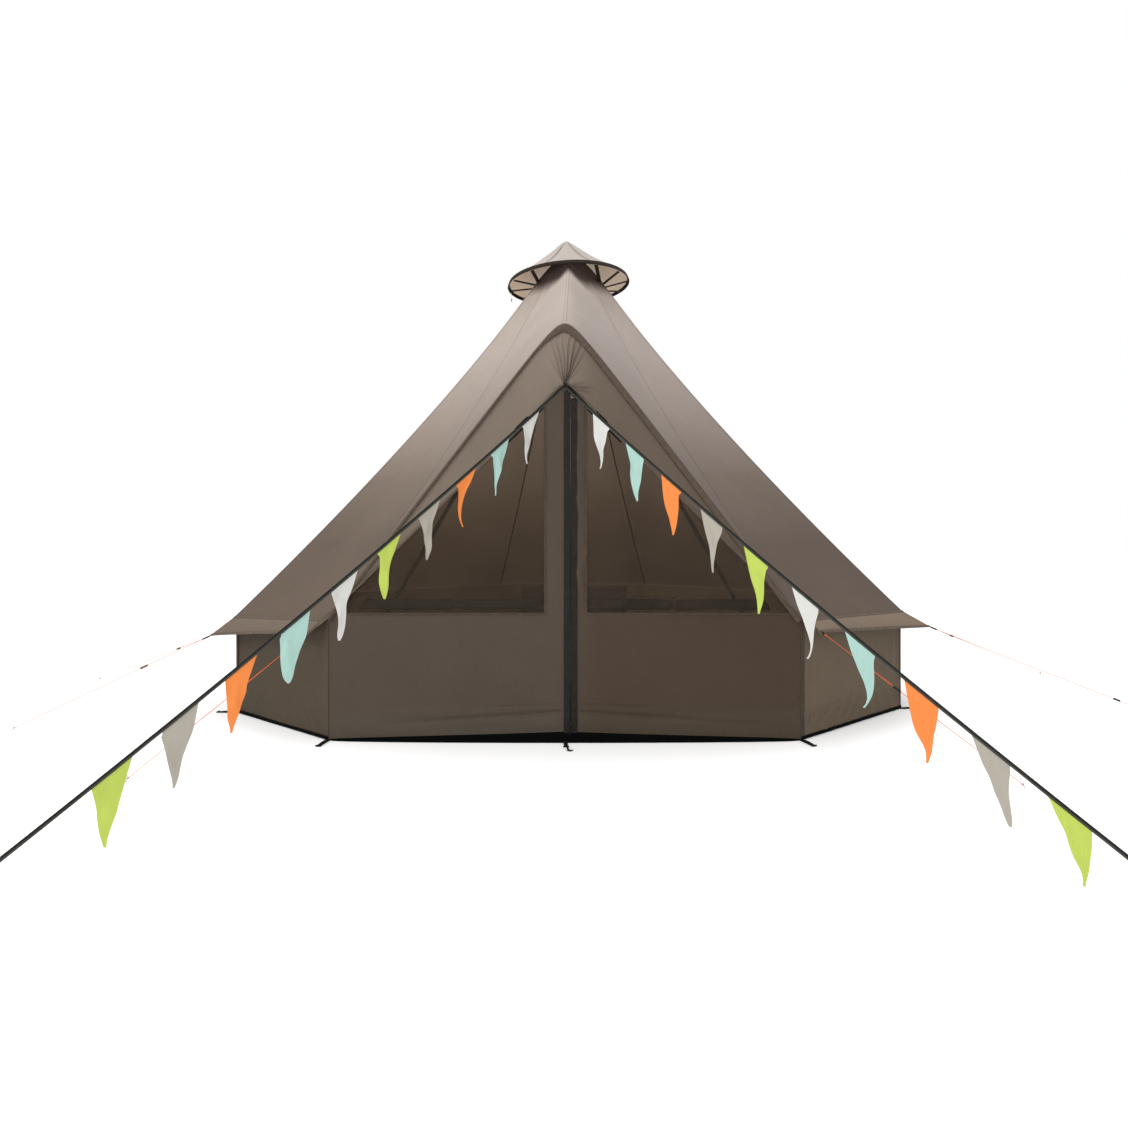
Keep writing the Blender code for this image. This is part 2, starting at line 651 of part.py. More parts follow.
def main():
    for old in list(bpy.data.objects):
        bpy.data.objects.remove(old, do_unlink=True)
    roof = material("roof_cloth", (0.21, 0.17, 0.145), 0.75)
    wall = material("wall_cloth", (0.1, 0.08, 0.065), 0.8)
    mesh = material("door_netting", (0.12, 0.1, 0.08), 0.9)
    black = material("groundsheet_black", (0.012, 0.012, 0.012), 0.6)
    trim = material("dark_webbing", (0.035, 0.038, 0.036), 0.7)
    film = material("window_film", (0.02, 0.022, 0.022), 0.2)
    steel = material("pole_steel", (0.04, 0.04, 0.042), 0.4, 0.8)
    flags = material("bunting_cloth", (0.6, 0.62, 0.4), 0.7)
    line = material("guy_orange", (0.8, 0.2, 0.05), 0.6)
    add_groundsheet(black)
    for index in (0, 1, 2, 4, 5, 6):
        add_plain_wall(index, wall)
    add_back_wall(3, wall, film)
    add_roof(roof)
    add_crown(trim)
    add_skirts(roof)
    add_gables(wall)
    add_door(wall, mesh, trim)
    add_frame_leg("left", -1, steel)
    add_frame_leg("right", 1, steel)
    add_centre_pole(steel)
    add_cap(roof, trim)
    add_cap_cord(line, trim)
    add_bunting("left", -1, flags)
    add_bunting("right", 1, flags)
    add_guys(line)


main()
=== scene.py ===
from math import atan2, copysign, cos, exp, hypot, pi, radians, sin, sqrt

import bmesh
import bpy
from mathutils import Matrix, Vector, noise


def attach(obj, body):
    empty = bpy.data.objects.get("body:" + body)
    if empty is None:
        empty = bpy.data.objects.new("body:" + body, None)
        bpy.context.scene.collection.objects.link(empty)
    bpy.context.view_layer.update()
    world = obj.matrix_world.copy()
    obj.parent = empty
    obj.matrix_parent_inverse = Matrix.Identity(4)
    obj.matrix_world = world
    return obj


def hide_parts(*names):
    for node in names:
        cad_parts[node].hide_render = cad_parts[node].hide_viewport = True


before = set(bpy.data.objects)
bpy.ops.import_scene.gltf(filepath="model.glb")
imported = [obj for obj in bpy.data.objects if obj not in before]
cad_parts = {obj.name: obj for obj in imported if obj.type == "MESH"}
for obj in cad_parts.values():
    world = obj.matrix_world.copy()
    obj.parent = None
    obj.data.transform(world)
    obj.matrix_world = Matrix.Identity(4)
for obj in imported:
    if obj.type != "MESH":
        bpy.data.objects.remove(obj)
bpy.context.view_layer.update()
print("frame loaded:", len(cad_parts), "solids")

# Driving sizes of the tent, in metres
tent = {
    "cornerRadius": 2.2,
    "frontHalfWidth": 1.223,
    "frontDepth": 1.489,
    "backHalfWidth": 0.728,
    "eaveHeight": 0.579,
    "frontEaveHeight": 0.628,
    "crownHeight": 3.045,
    "crownRadius": 0.09,
    "ridgeSag": 0.06,
    "panelSag": 0.05,
    "porchHeight": 2.152,
    "porchBend": 0.06,
    "porchGap": 0.0075,
    "doorPeak": 1.836,
    "frontTip": Vector((1.316, -1.54, 0.546)),
    "doorWaist": 0.659,
    "doorDepth": 1.483,
    "sillRise": 0.045,
    "poleLean": 0.025,
    "poleTop": 3.197,
}
frontWide, waist = tent["frontHalfWidth"], tent["doorWaist"]
frontY, doorY = -tent["frontDepth"], -tent["doorDepth"]
halfWidth = tent["cornerRadius"] * cos(radians(22.5))
sideDepth = tent["cornerRadius"] * sin(radians(22.5))
up, toFront, toBack, toRight = Vector((0, 0, 1)), Vector((0, -1, 0)), Vector((0, 1, 0)), Vector((1, 0, 0))

# Corners from the front left, clockwise seen from above, at eave height. The tent stands a little unevenly
corners = [Vector(place) for place in [
    (-frontWide, frontY, tent["frontEaveHeight"]),
    (-halfWidth + 0.050, -sideDepth - 0.055, tent["eaveHeight"]),
    (-halfWidth, sideDepth, tent["eaveHeight"]),
    (-tent["backHalfWidth"], halfWidth, tent["eaveHeight"]),
    (tent["backHalfWidth"], halfWidth, tent["eaveHeight"]),
    (halfWidth, sideDepth, tent["eaveHeight"]),
    (halfWidth + 0.010, -sideDepth + 0.040, tent["eaveHeight"] + 0.024),
    (frontWide, frontY, tent["frontEaveHeight"]),
]]
sides = ["front_left", "left", "back_left", "back", "back_right", "right", "front_right"]
porchRun = hypot(frontWide, tent["porchBend"]) - tent["porchBend"]
porchSlope = (tent["porchHeight"] - tent["frontEaveHeight"]) / porchRun


def flat(point, height=0.0):
    return Vector((point.x, point.y, height))


def smooth(low, high, value):
    share = min(max((value - low) / (high - low), 0.0), 1.0)
    return share * share * (3 - 2 * share)


def bell(value, centre, width):
    return exp(-(((value - centre) / width) ** 2))


def noiseAt(x, y, z):
    return noise.noise(Vector((x, y, z)))


def shares(steps):
    return [step / steps for step in range(steps + 1)]


def turnsOf(count):
    return [2 * pi * step / count for step in range(count + 1)]


def outAt(turn):
    return Vector((cos(turn), sin(turn), 0))


def between(first, last, steps):
    return [first.lerp(last, share) for share in shares(steps)]


# Places from -half to half, closer together in the middle
def spaced(steps, power, half):
    found = [half * share**power for share in shares(steps)]
    return [-x for x in found[:0:-1]] + found


# A direction, turned round where it points away from another one
def toward(way, like):
    return -way if way.dot(like) < 0 else way


# A closed ring of points, from two half axes
def hoop(centre, first, second, steps):
    return [centre + first * cos(turn) + second * sin(turn) for turn in turnsOf(steps)[:-1]]


def heading(line, index):
    return (line[min(index + 1, len(line) - 1)] - line[max(index - 1, 0)]).normalized()


def porchEdge(x):
    return tent["porchHeight"] - porchSlope * (hypot(x, tent["porchBend"]) - tent["porchBend"])


def doorEdge(x):
    tip = tent["frontTip"]
    return tent["doorPeak"] - (tent["doorPeak"] - tip.z) * abs(x) / tip.x


# Mesh making: a sheet is a list of rows of points, and its UVs are metres of cloth
def sheetUvs(rows):
    found, downs = [], [0.0] * len(rows[0])
    for order, row in enumerate(rows):
        across = [0.0]
        for before, point in zip(row, row[1:]):
            across.append(across[-1] + (point - before).length)
        if order:
            downs = [down + (point - above).length for down, point, above in zip(downs, row, rows[order - 1])]
        found.append([(reach - across[-1] / 2, -down) for reach, down in zip(across, downs)])
    return found


# Rows of points: at gives one for a place down and a place across
def gridOf(downs, acrosses, at):
    return [[at(down, across) for across in acrosses] for down in downs]


def newParts():
    return {"points": [], "faces": [], "uvs": []}


def addRows(parts, rows, uvs=None, skip=None, turned=False):
    uvs = uvs or sheetUvs(rows)
    base, wide = len(parts["points"]), len(rows[0])
    for row in rows:
        parts["points"] += row
    for down in range(len(rows) - 1):
        for across in range(wide - 1):
            if skip and skip(down, across):
                continue
            ring = [(down, across), (down, across + 1), (down + 1, across + 1), (down + 1, across)]
            if turned:
                ring.reverse()
            parts["faces"].append([base + a * wide + b for a, b in ring])
            parts["uvs"].append([uvs[a][b] for a, b in ring])
    return parts


def sheetParts(rows, uvs=None, turned=False):
    return addRows(newParts(), rows, uvs, turned=turned)


# A round tube through points; radii may be one number or one for each point
def addTube(parts, points, radii, around=8, closed=False):
    if not isinstance(radii, list):
        radii = [radii] * len(points)
    rows, uvs, side, run = [], [], None, 0.0
    count, turns = len(points), turnsOf(around)
    for index, (point, radius) in enumerate(zip(points, radii)):
        before = points[index - 1] if index or closed else point
        after = points[(index + 1) % count] if index + 1 < count or closed else point
        along = (after - before).normalized()
        if side is None:
            side = along.orthogonal().normalized()
        side = (side - along * side.dot(along)).normalized()
        other = along.cross(side)
        run += (point - points[index - 1]).length if index else 0.0
        rows.append([point + (side * cos(turn) + other * sin(turn)) * radius for turn in turns])
        uvs.append([(turn * radius, run) for turn in turns])
    if closed:
        rows.append(rows[0])
        uvs.append([(u, run) for u, _ in uvs[0]])
    addRows(parts, rows, uvs)
    for end, turned in () if closed else ((0, True), (-1, False)):
        order = list(range(len(parts["points"]), len(parts["points"]) + around))
        parts["points"] += rows[end][:-1]
        parts["faces"].append(order if turned else order[::-1])
        parts["uvs"].append([(0.0, 0.0)] * around)
    return parts


# A flat tape: its centre line, and the ways across it and out of it, one for all points or one for each
def addTape(parts, points, across, facing, width, thickness=0.0016, closed=False):
    across, facing = [way if isinstance(way, list) else [way] * len(points) for way in (across, facing)]
    half, deep = width / 2, thickness / 2
    profile = [(-1, -0.4), (-0.94, 1), (-0.5, 1.15), (0, 1.2), (0.5, 1.15), (0.94, 1), (1, -0.4)]
    profile += [(0.94, -1), (-0.94, -1), (-1, -0.4)]
    rows, uvs, run = [], [], 0.0
    for index, point in enumerate(points):
        run += (point - points[index - 1]).length if index else 0.0
        rows.append([point + across[index] * half * a + facing[index] * deep * b for a, b in profile])
        uvs.append([(half * a, run) for a, _ in profile])
    if closed:
        run += (points[0] - points[-1]).length
        rows.append(rows[0])
        uvs.append([(u, run) for u, _ in uvs[0]])
    return addRows(parts, rows, uvs)


def addObject(name, data):
    made = bpy.data.objects.new(name, data)
    bpy.context.scene.collection.objects.link(made)
    return made


def makeMesh(name, parts, crease=50):
    mesh = bpy.data.meshes.new(name)
    mesh.from_pydata([tuple(point) for point in parts["points"]], [], parts["faces"])
    layer = mesh.uv_layers.new(name="cloth")
    for corner, uv in enumerate(uv for face in parts["uvs"] for uv in face):
        layer.data[corner].uv = uv
    body = bmesh.new()
    body.from_mesh(mesh)
    bmesh.ops.remove_doubles(body, verts=body.verts, dist=1e-5)
    bmesh.ops.dissolve_degenerate(body, edges=body.edges, dist=1e-6)
    body.to_mesh(mesh)
    body.free()
    mesh.shade_smooth()
    if crease:
        mesh.set_sharp_from_angle(angle=radians(crease))
    return addObject(name, mesh)


# A piece rides on the tent's one body, wears a finish, and may stand for solids of the frame
def fit(piece, finish, slotName, *nodes):
    piece.data.materials.append(finishes[finish])
    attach(piece, "root")
    if nodes:
        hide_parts(*nodes)
    return piece


def addPiece(name, parts, finish, slotName, *nodes, crease=50):
    return fit(makeMesh(name, parts, crease), finish, slotName, *nodes)


def clothArea(piece):
    return sum(face.area for face in piece.data.polygons)


def declare(piece, wide, long):
    area = min(max(clothArea(piece), 0.301 * wide * long), wide * long)


# Finishes: each is built from nodes, with its colour, wear and relief
def feed(node, inputs):
    for key, value in inputs.items():
        if isinstance(value, bpy.types.NodeSocket):
            node.id_data.links.new(value, node.inputs[key])
        else:
            node.inputs[key].default_value = value


def startMaterial(name, roughness, metallic=0.0, sheen=0.0, specular=0.5):
    material = bpy.data.materials.new(name)
    material.use_nodes = True
    shader = material.node_tree.nodes["Principled BSDF"]
    feed(shader, {"Roughness": roughness, "Metallic": metallic, "Sheen Weight": sheen})
    feed(shader, {"Sheen Roughness": 0.5, "Specular IOR Level": specular})

    def add(kind, inputs=(), output=0, **settings):
        node = material.node_tree.nodes.new("ShaderNode" + kind)
        for key, value in settings.items():
            setattr(node, key, value)
        feed(node, dict(inputs))
        return node.outputs[output]

    return material, shader, add


def maths(add, operation, *values):
    return add("Math", dict(enumerate(values)), operation=operation)


def spread(add, *values):
    return add("MapRange", dict(enumerate(values)))


def ease(add, *values):
    return add("MapRange", dict(enumerate(values)), interpolation_type="SMOOTHSTEP")


def clouds(add, place, scale, detail, roughness=0.5, distortion=0.0):
    inputs = {"Vector": place, "Scale": scale, "Detail": detail, "Roughness": roughness}
    return add("TexNoise", {**inputs, "Distortion": distortion})


def bands(add, uv, pitch, direction):
    inputs = {"Vector": uv, "Scale": 2 * pi / (20 * pitch), "Distortion": 0.0}
    return add("TexWave", inputs, 1, wave_type="BANDS", bands_direction=direction)


def relief(add, height, strength, distance, **more):
    return add("Bump", {"Height": height, "Strength": strength, "Distance": distance, **more})


def mixColour(add, share, first, second, blend="MIX"):
    pair = [value if isinstance(value, bpy.types.NodeSocket) else (*value, 1) for value in (first, second)]
    return add("Mix", {0: share, 6: pair[0], 7: pair[1]}, 2, data_type="RGBA", blend_type=blend)


def toned(add, colour, tone):
    if isinstance(colour, tuple):
        plain, colour = colour, add("RGB")
        colour.default_value = (*plain, 1)
    return add("VectorMath", {0: colour, "Scale": tone}, operation="SCALE")


# Woven cloth: threads, slubs and soft mottling. Its paint is a colour, or a list of heights and colours.
# Its side tint is painted light: it makes one half of the tent lighter and the other darker. Its cap tint is
# a painted shadow on the roof near the crown, under the cap
def wovenCloth(name, paint, thread=0.0014, roughness=0.82, shine=0.1, mottle=0.1, crumple=0.0, **more):
    material, shader, add = startMaterial(name, roughness, sheen=0.2 * shine, specular=shine)
    uv, place = add("UVMap", uv_map="cloth"), add("TexCoord", output="Object")
    x, y, z = add("SeparateXYZ", {0: place}).node.outputs
    stops = paint if isinstance(paint, list) else [(0.0, paint), (1.0, paint)]
    low, high = stops[0][0], stops[-1][0]
    height = maths(add, "MULTIPLY_ADD", clouds(add, place, 9.0, 1.0), 0.05, z)
    colour = add("ValToRGB", {0: spread(add, height, low + 0.025, high + 0.025)})
    marks = colour.node.color_ramp.elements
    for order, (level, tint) in enumerate(stops):
        at = (level - low) / (high - low)
        mark = marks[order] if order < 2 else marks.new(at)
        mark.position = at
        mark.color = (*tint, 1)
    # Painted light: the side tint makes one half of the tent lighter and the other darker, standing in for
    # uneven light
    if "sideLightTint" in more:
        half = mixColour(add, ease(add, x, -0.06, 0.2), *more["sideLightTint"])
        colour = mixColour(add, 1.0, colour, half, "MULTIPLY")
    # Painted shadow: the roof is darkened near the crown, under the cap, where the cap's shadow falls
    if "vent" in more:
        under = ease(add, maths(add, "MULTIPLY_ADD", y, -0.22, height), 2.79, 2.91)
        away = add("VectorMath", {0: add("CombineXYZ", {0: x, 1: y})}, "Value", operation="LENGTH")
        covered = ease(add, away, 0.58, 0.4)
        colour = mixColour(add, maths(add, "MULTIPLY", under, covered), colour, more["vent"])
    if "stitch" in more:
        seamAt, tint = more["stitch"]
        off = maths(add, "ABSOLUTE", add("SeparateXYZ", {0: uv}))
        line = maths(add, "COMPARE", off, seamAt, 0.0011)
        colour = mixColour(add, line, colour, mixColour(add, 1.0, colour, tint, "MULTIPLY"))
    dust = clouds(add, place, 23.0, 4.0, 0.7)
    scales = [(9.0, 420.0, 1.0), (420.0, 9.0, 1.0)]
    slubs = [add("Mapping", {"Vector": uv, "Scale": scale}) for scale in scales]
    threads = maths(add, "ADD", *[clouds(add, slub, 1.0, 2.0) for slub in slubs])
    broad = spread(add, clouds(add, place, 1.7, 3.0, 0.6), 0.3, 0.7, 1 - mottle, 1 + mottle)
    fine = spread(add, dust, 0.25, 0.75, 1 - mottle * 0.35, 1 + mottle * 0.35)
    streak = spread(add, threads, 0.7, 1.3, 0.93, 1.07)
    tone = maths(add, "MULTIPLY", maths(add, "MULTIPLY", broad, fine), streak)
    weave = maths(add, "MULTIPLY", bands(add, uv, thread, "X"), bands(add, uv, thread, "Y"))
    bump = relief(add, maths(add, "ADD", weave, threads), 0.25, 0.0004)
    if crumple:
        bump = relief(add, clouds(add, place, 7.0, 5.0, 0.55, 0.6), 1.0, crumple, Normal=bump)
    rough = spread(add, dust, 0.2, 0.8, roughness - 0.08, roughness + 0.08)
    feed(shader, {"Base Color": toned(add, colour, tone), "Roughness": rough, "Normal": bump})
    return material


# Webbing and binding tape: ribs along the tape and a dashed stitch line near both edges
def tapeFinish(name, colour, width, stitch=None, rib=0.0022, lower=None):
    material, shader, add = startMaterial(name, 0.7, specular=0.08)
    uv, place = add("UVMap", uv_map="cloth"), add("TexCoord", output="Object")
    across, along, _ = add("SeparateXYZ", {0: uv}).node.outputs
    tone = spread(add, clouds(add, place, 40.0, 4.0), 0.25, 0.75, 0.82, 1.18)
    height = maths(add, "ADD", bands(add, uv, rib, "Y"), bands(add, uv, rib / 1.6, "X"))
    if lower:
        colour = mixColour(add, maths(add, "LESS_THAN", across, 0.0), colour, lower)
    if stitch:
        off = maths(add, "SUBTRACT", maths(add, "ABSOLUTE", across), width / 2 - 0.0028)
        line = maths(add, "LESS_THAN", maths(add, "ABSOLUTE", off), 0.0006)
        dash = maths(add, "LESS_THAN", maths(add, "FLOORED_MODULO", along, 0.0042), 0.003)
        seam = maths(add, "MULTIPLY", line, dash)
        colour = mixColour(add, seam, colour, stitch)
        height = maths(add, "ADD", height, seam)
    feed(shader, {"Base Color": toned(add, colour, tone), "Normal": relief(add, height, 0.5, 0.0005)})
    return material


# Painted or coated metal and moulded plastic
def hardFinish(name, colour, roughness, metallic=0.0, grain=0.0002, specular=0.25):
    material, shader, add = startMaterial(name, roughness, metallic=metallic, specular=specular)
    place = add("TexCoord", output="Object")
    wear = clouds(add, place, 30.0, 5.0, 0.7)
    rough = spread(add, wear, 0.3, 0.7, roughness - 0.08, roughness + 0.1)
    bump = relief(add, clouds(add, place, 700.0, 2.0), 0.3, grain)
    shade = spread(add, wear, 0.3, 0.75, 0.8, 1.3)
    feed(shader, {"Base Color": toned(add, colour, shade), "Roughness": rough, "Normal": bump})
    return material


# Insect netting: a fine square mesh that lets about half of the light through
def nettingFinish(name, colour, cell=0.0022, cover=0.4):
    material, shader, add = startMaterial(name, 0.85, specular=0.03)
    uv, place = add("UVMap", uv_map="cloth"), add("TexCoord", output="Object")
    thread = maths(add, "MAXIMUM", bands(add, uv, cell, "X"), bands(add, uv, cell, "Y"))
    tone = spread(add, clouds(add, place, 5.0, 3.0), 0.3, 0.7, 0.85, 1.15)
    solid = spread(add, thread, 0.35, 0.95, cover * 0.85, cover * 1.1)
    bump = relief(add, thread, 0.4, 0.0003)
    feed(shader, {"Alpha": solid, "Base Color": toned(add, colour, tone), "Normal": bump})
    return material


# Heights in metres and the canvas colour there: painted light, lighter towards the top and darker low down,
# standing in for the light that falls more on the top
roofPaint = [
    (0.5, (0.102, 0.075, 0.058)),
    (1.0, (0.100, 0.075, 0.059)),
    (1.4, (0.143, 0.112, 0.091)),
    (1.8, (0.235, 0.194, 0.168)),
    (2.3, (0.318, 0.272, 0.244)),
    (2.62, (0.300, 0.258, 0.232)),
    (3.05, (0.300, 0.258, 0.232)),
]
# Painted light: each look's side tint makes one half of the tent lighter or darker; the roof's cap tint is a
# painted shadow near the crown
roofLook = {"mottle": 0.05, "sideLightTint": ((1.05, 1.05, 1.03), (0.97, 0.97, 0.98)), "vent": (0.036, 0.022, 0.018)}
# Painted light: the gable is lighter towards its peak and darker lower down
gablePaint = [(0.7, (0.130, 0.100, 0.077)), (2.1, (0.190, 0.152, 0.124))]
doorPaint = [(0.09, (0.083, 0.067, 0.051)), (0.2, (0.078, 0.059, 0.045))]
even = (1.0, 1.0, 1.0)
skirtLook = {"mottle": 0.06, "crumple": 0.002, "sideLightTint": (even, (1.28, 1.27, 1.22))}
wallLook = {"mottle": 0.07, "crumple": 0.005, "sideLightTint": ((0.60, 0.60, 0.60), even)}
gableLook = {"mottle": 0.05, "crumple": 0.003, "sideLightTint": (even, (0.66, 0.64, 0.62))}
doorLook = {"mottle": 0.06, "crumple": 0.004, "sideLightTint": ((0.88, 0.89, 0.90), (0.72, 0.67, 0.62))}
floorLook = {"roughness": 0.7, "shine": 0.02, "mottle": 0.15, "thread": 0.003, "crumple": 0.002}
darkLook = {"roughness": 0.8, "mottle": 0.15, "thread": 0.0012, "crumple": 0.003}
finishes = {
    "roof": wovenCloth("roof canvas", roofPaint, crumple=0.0025, **roofLook),
    "roofTape": wovenCloth("roof seam tape", roofPaint, stitch=(0.0075, (0.5, 0.45, 0.42)), **roofLook),
    "skirt": wovenCloth("skirt canvas", (0.137, 0.105, 0.080), **skirtLook),
    "wall": wovenCloth("wall canvas", (0.107, 0.081, 0.056), **wallLook),
    "gable": wovenCloth("gable canvas", gablePaint, **gableLook),
    "door": wovenCloth("door canvas", doorPaint, **doorLook),
    # Painted light: the lining's bright tan partly stands in for daylight through the thin cap cloth
    "lining": wovenCloth("cap lining painted glow", (0.88, 0.68, 0.51), mottle=0.06),
    "cap": wovenCloth("cap canvas", (0.29, 0.258, 0.234), mottle=0.04, crumple=0.001),
    "floor": wovenCloth("groundsheet laminate", (0.002, 0.0024, 0.002), **floorLook),
    "dark": wovenCloth("dark cloth", (0.006, 0.006, 0.005), **darkLook),
    "netting": nettingFinish("insect netting", (0.06, 0.045, 0.033)),
    "film": hardFinish("tinted window film", (0.03, 0.026, 0.022), 0.6, grain=0.00005, specular=0.05),
    "skirtSeam": tapeFinish("skirt hem seam", (0.118, 0.09, 0.07), 0.018, (0.085, 0.064, 0.05)),
    "innerSeam": tapeFinish("taped inner seam", (0.012, 0.008, 0.005), 0.02),
    "binding": tapeFinish("edge binding", (0.06, 0.045, 0.034), 0.02, (0.03, 0.023, 0.018)),
    "hemTape": tapeFinish("gable hem", (0.105, 0.080, 0.062), 0.011, (0.07, 0.052, 0.04)),
    # The pole sleeve is darker than the gable: partly its own colour, partly painted shade under the porch
    # edge
    "sleeve": tapeFinish("pole sleeve cloth", (0.088, 0.066, 0.051), 0.04, (0.04, 0.03, 0.023)),
    "rim": tapeFinish("cap rim binding", (0.016, 0.011, 0.008), 0.024, (0.04, 0.03, 0.02)),
    "webbing": tapeFinish("black webbing", (0.008, 0.009, 0.008), 0.02, (0.025, 0.026, 0.025)),
    "strap": tapeFinish(
        "bunting strap", (0.012, 0.013, 0.011), 0.015, (0.04, 0.042, 0.037), lower=(0.055, 0.056, 0.048)
    ),
    "zip": tapeFinish("zip tape", (0.019, 0.017, 0.015), 0.05, (0.03, 0.028, 0.025), rib=0.0016),
    "steel": hardFinish("coated steel tube", (0.012, 0.010, 0.009), 0.45, 0.2, specular=0.15),
    "pegSteel": hardFinish("peg steel", (0.55, 0.55, 0.55), 0.45, 0.5),
    "plastic": hardFinish("moulded black plastic", (0.006, 0.006, 0.006), 0.5),
    "line": tapeFinish("braided orange line", (0.62, 0.12, 0.03), 0.006, rib=0.003),
}
# Painted glow: the lining, and the stays and cord that wear it, emit a little light of their own
lining = finishes["lining"].node_tree.nodes["Principled BSDF"]  # daylight comes through the thin lining
feed(lining, {"Emission Color": (1.0, 0.92, 0.82, 1), "Emission Strength": 0.11})
print("finishes ready:", len(finishes))

# Roof: one continuous sheet round the crown, with a taped seam on every ridge
roof = {
    "rows": 84,
    "fullness": 0.022,
    "fullAt": 0.07,
    "steps": {"porch": 34, "front": 20, "side": 24},
    "broadWave": 0.007,
    "fold": 0.0035,
    "seamWidth": 0.022,
    "innerTape": 0.016,
    "hemWidth": 0.028,
}


def roofColumns():
    porch = [frontWide * (step / roof["steps"]["porch"]) ** 1.6 for step in range(roof["steps"]["porch"])]
    porch = [(x, porchEdge(x), -tent["ridgeSag"] * (1 - x / frontWide)) for x in porch]
    found, ridges = [(Vector((x, frontY, z)), bow, x / frontWide) for x, z, bow in porch], [0]
    for start in range(7, 0, -1):
        ridges.append(len(found))
        front = start in (7, 1)
        for share in shares(roof["steps"]["front" if front else "side"])[:-1]:
            bow = tent["panelSag"] * (0.5 if front else 1.0) * sin(pi * share)
            found.append((corners[start].lerp(corners[start - 1], share), bow, share))
    ridges.append(len(found))
    found.append((corners[0], 0.0, 0.0))
    found += [(Vector((-x, frontY, z)), bow, 1 - x / frontWide) for x, z, bow in reversed(porch)]
    return found, ridges + [len(found) - 1]


def roofPoint(foot, share, bow):
    outward = flat(foot).normalized()
    top = outward * tent["crownRadius"] + up * tent["crownHeight"]
    down = (foot - top).normalized()
    inward = (down * outward.dot(down) - outward).normalized()
    full = roof["fullness"] * share / roof["fullAt"] * exp(1 - share / roof["fullAt"])
    hang = (tent["ridgeSag"] + bow) * 4 * share * (1 - share)
    return top.lerp(foot, share) + inward * hang + outward * full


# How far the cloth stands off its taut shape: slack near the hems, folds that run from the corners
def roofSlack(point, share, across, order):
    held = sin(pi * min(max(across, 0.0), 1.0)) ** 0.6
    ends = smooth(0.0, 0.12, share) * smooth(0.0, 0.05, 1 - share)
    drift = noise.noise(point * 1.1 + Vector((3.1, 0, order)))
    ripple = noiseAt(across * 9, share * 1.3, order * 2.7)
    long = sin(across * 31 + 2.2 * drift + order) * (1 - share) ** 2
    near = (1 - share) * 3.2
    corner = 0.0
    for end in (0.0, 1.0):
        reach = hypot((across - end) * 1.5, near)
        turn = atan2(near, abs(across - end) * 1.5 + 1e-6)
        corner += sin(turn * 13 + end * 2 + order) * exp(-reach / 0.45) * smooth(0.02, 0.2, reach)
    folds = 0.5 * ripple + 0.35 * long + 1.1 * corner
    return held * ends * (roof["broadWave"] * drift + roof["fold"] * folds)


def makeRoof():
    columns, ridges = roofColumns()
    rows = [[roofPoint(foot, share, bow) for foot, bow, _ in columns] for share in shares(roof["rows"])]
    parts = newParts()
    for order, (first, last) in enumerate(zip(ridges, ridges[1:])):
        for column in range(first + 1, last):
            for down in range(1, roof["rows"]):
                point = rows[down][column]
                right = rows[down][column + 1] - rows[down][column - 1]
                rise = rows[down - 1][column] - rows[down + 1][column]
                away = toward(rise.cross(right).normalized(), flat(point))
                slack = roofSlack(point, down / roof["rows"], columns[column][2], order)
                rows[down][column] = point + away * slack
        addRows(parts, [row[first : last + 1] for row in rows])
    nodes = ["roof_" + side for side in sides]
    return addPiece("roofSheet", parts, "roof", "roof_cloth", *nodes, crease=0), rows, ridges


# A tape that bends over a ridge of the roof, on its outside or its inside
def ridgeTape(parts, rows, column, width, lift):
    profile = ((-1, 0.3), (-0.5, 1), (0, 1.2), (0.5, 1), (1, 0.3))
    wide, line = len(rows[0]) - 1, [row[column] for row in rows]
    grid, uvs, run = [], [], 0.0
    for down in range(1, len(rows)):
        centre = line[down]
        left = (rows[down][(column - 1) % wide] - centre).normalized()
        right = (rows[down][(column + 1) % wide] - centre).normalized()
        away = toward((right - left).cross(heading(line, down)).normalized(), flat(centre))
        run += (centre - line[down - 1]).length if grid else 0.0
        ways = [(right if share > 0 else left) * abs(share) * width / 2 for share, _ in profile]
        grid.append([centre + way + away * lift * rise for way, (_, rise) in zip(ways, profile)])
        uvs.append([(width / 2 * share, run) for share, _ in profile])
    addRows(parts, grid, uvs)


# The porch edge: a hem on the cloth and the sleeve behind it that the A-frame runs in
def makePorchTrim():
    edge = [Vector((x, frontY, porchEdge(x))) for x in spaced(60, 1.3, frontWide)]
    across, facing, hemLine, rows, uvs, run, turns = [], [], [], [], [], 0.0, turnsOf(12)
    for index, point in enumerate(edge):
        along = heading(edge, index)
        way = roofPoint(point, 0.97, -tent["ridgeSag"] * (1 - abs(point.x) / frontWide)) - point
        way = (way - along * way.dot(along)).normalized()
        across.append(way)
        facing.append(toward(along.cross(way).normalized(), up))
        hemLine.append(point + way * 0.0145 + facing[-1] * 0.0012)
        run += (point - edge[max(index - 1, 0)]).length
        below = toward(toBack.cross(along).normalized(), -up)
        # The sleeve hangs lower under the right half of the porch edge, so that its dark cloth shows there as
        # a strip of painted shade
        half = 0.022 - (0.006 if point.x > 0 else 0.016) * smooth(0.0, 0.16, abs(point.x))
        centre = point + below * (half * 0.9 + 0.002) - toBack * 0.004
        ring = []
        for step, turn in enumerate(turns):
            fat = 1 + 0.08 * noiseAt(run * 7, step * 0.5, 1)
            ring.append(centre + below * cos(turn) * half * fat + toBack * sin(turn) * 0.009 * fat)
        rows.append(ring)
        uvs.append([(half * cos(turn) * 1.2, run) for turn in turns])
    hem = addTape(newParts(), hemLine, across, facing, roof["hemWidth"], 0.0018)
    hemPiece = addPiece("porchHem", hem, "roofTape", "roof_cloth", crease=0)
    addPiece("poleSleeve", sheetParts(rows, uvs), "sleeve", "wall_cloth", crease=0)
    return hemPiece


